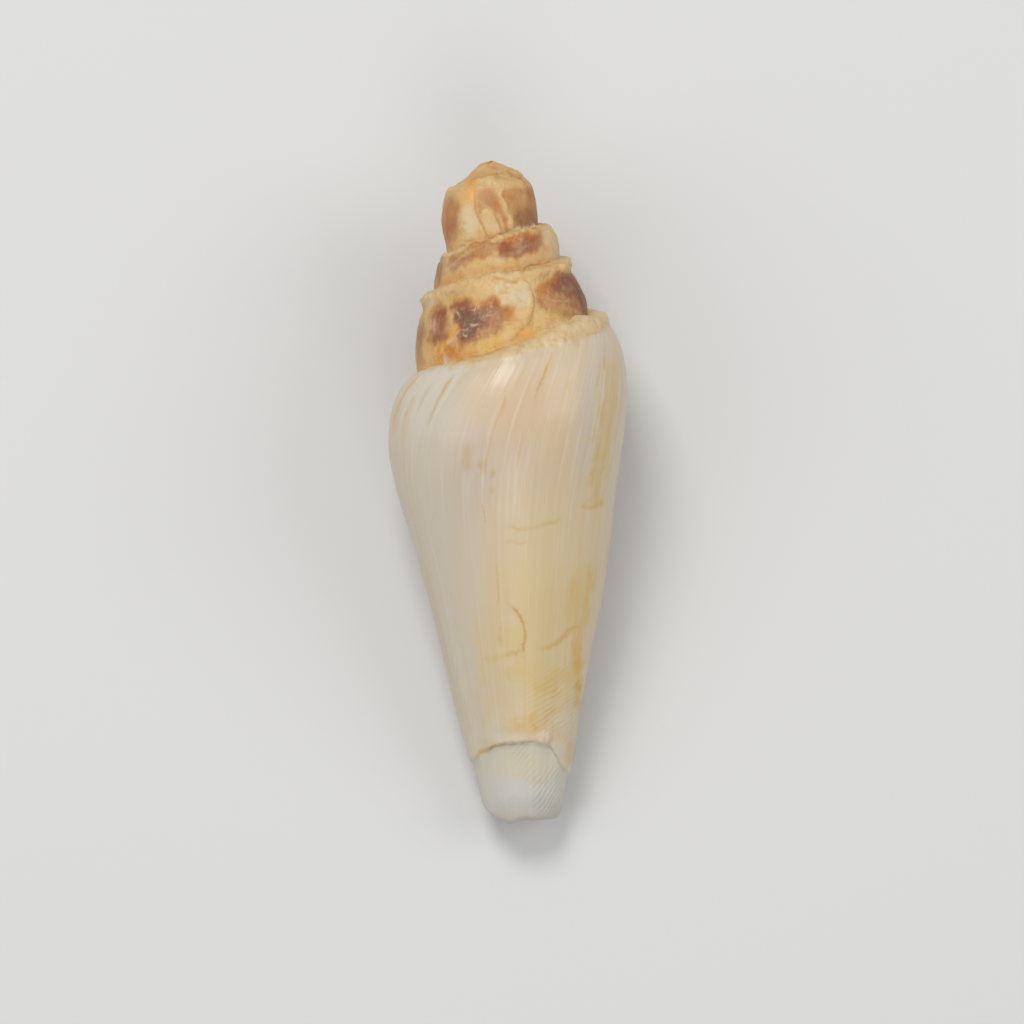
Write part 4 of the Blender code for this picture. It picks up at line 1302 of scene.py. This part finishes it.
shellSurface()
mesh.materials.append(material)
print("material made")

studio = {
    "floorSize": 1.6,
    "floorColour": (0.64, 0.635, 0.62),
    "floorRoughness": 0.9,
    "floorSpecular": 0.2,
    "worldColour": (0.95, 0.97, 1.0),
    "worldStrength": 0.38,
    "lightsAim": (0, 0, 0.008),
    # name: place, size, power in watts
    "lights": {
        "keyLight": ((-0.12, 0.33, 0.51), 0.24, 1.9),
        "leftLight": ((-0.45, -0.05, 0.40), 0.35, 0.6),
        "rightLight": ((0.50, 0.05, 0.42), 0.35, 1.0),
        "lowLight": ((0.05, -0.42, 0.45), 0.35, 0.75),
    },
}


def makeFloor():
    # a square with its corners half its size from the middle
    half = studio["floorSize"] / 2
    floorMesh = bpy.data.meshes.new("studioFloor")
    corners = [(-half, -half, 0), (half, -half, 0), (half, half, 0), (-half, half, 0)]
    floorMesh.from_pydata(corners, [], [(0, 1, 2, 3)])
    floor = bpy.data.objects.new("studioFloor", floorMesh)
    bpy.context.scene.collection.objects.link(floor)
    material = bpy.data.materials.new("paleFloor")
    material.use_nodes = True
    shader = material.node_tree.nodes["Principled BSDF"]
    shader.inputs["Base Color"].default_value = (*studio["floorColour"], 1)
    shader.inputs["Roughness"].default_value = studio["floorRoughness"]
    shader.inputs["Specular IOR Level"].default_value = studio["floorSpecular"]
    floorMesh.materials.append(material)


def makeLights():
    # area lights, each turned from its place towards the aim, in an even pale world
    for name, (place, size, power) in studio["lights"].items():
        light = bpy.data.lights.new(name, "AREA")
        light.size, light.energy = size, power
        lamp = bpy.data.objects.new(name, light)
        lamp.location = place
        aim = Vector(studio["lightsAim"]) - Vector(place)
        lamp.rotation_euler = aim.to_track_quat("-Z", "Y").to_euler()
        bpy.context.scene.collection.objects.link(lamp)
    world = bpy.data.worlds.new("studioWorld")
    world.use_nodes = True
    background = world.node_tree.nodes["Background"]
    background.inputs[0].default_value = (*studio["worldColour"], 1)
    background.inputs[1].default_value = studio["worldStrength"]
    bpy.context.scene.world = world


def makeCamera():
    # the lens that shows a focus plane of the picture's width from the given distance
    camera = bpy.data.cameras.new("photoCamera")
    camera.sensor_width = view["sensor"]
    camera.lens = view["sensor"] * view["distance"] / (view["picture"] / view["pixelsPerMm"] * mm)
    camera.clip_start, camera.clip_end = view["clip"]
    watcher = bpy.data.objects.new("photoCamera", camera)
    axes = np.column_stack([*viewAxes(), viewPlace() * mm])
    watcher.matrix_world = Matrix([*axes.tolist(), [0, 0, 0, 1]])
    bpy.context.scene.collection.objects.link(watcher)
    bpy.context.scene.camera = watcher


makeFloor()
makeLights()
makeCamera()
bpy.context.scene.view_settings.view_transform = "Standard"
print("floor, lights and camera made")
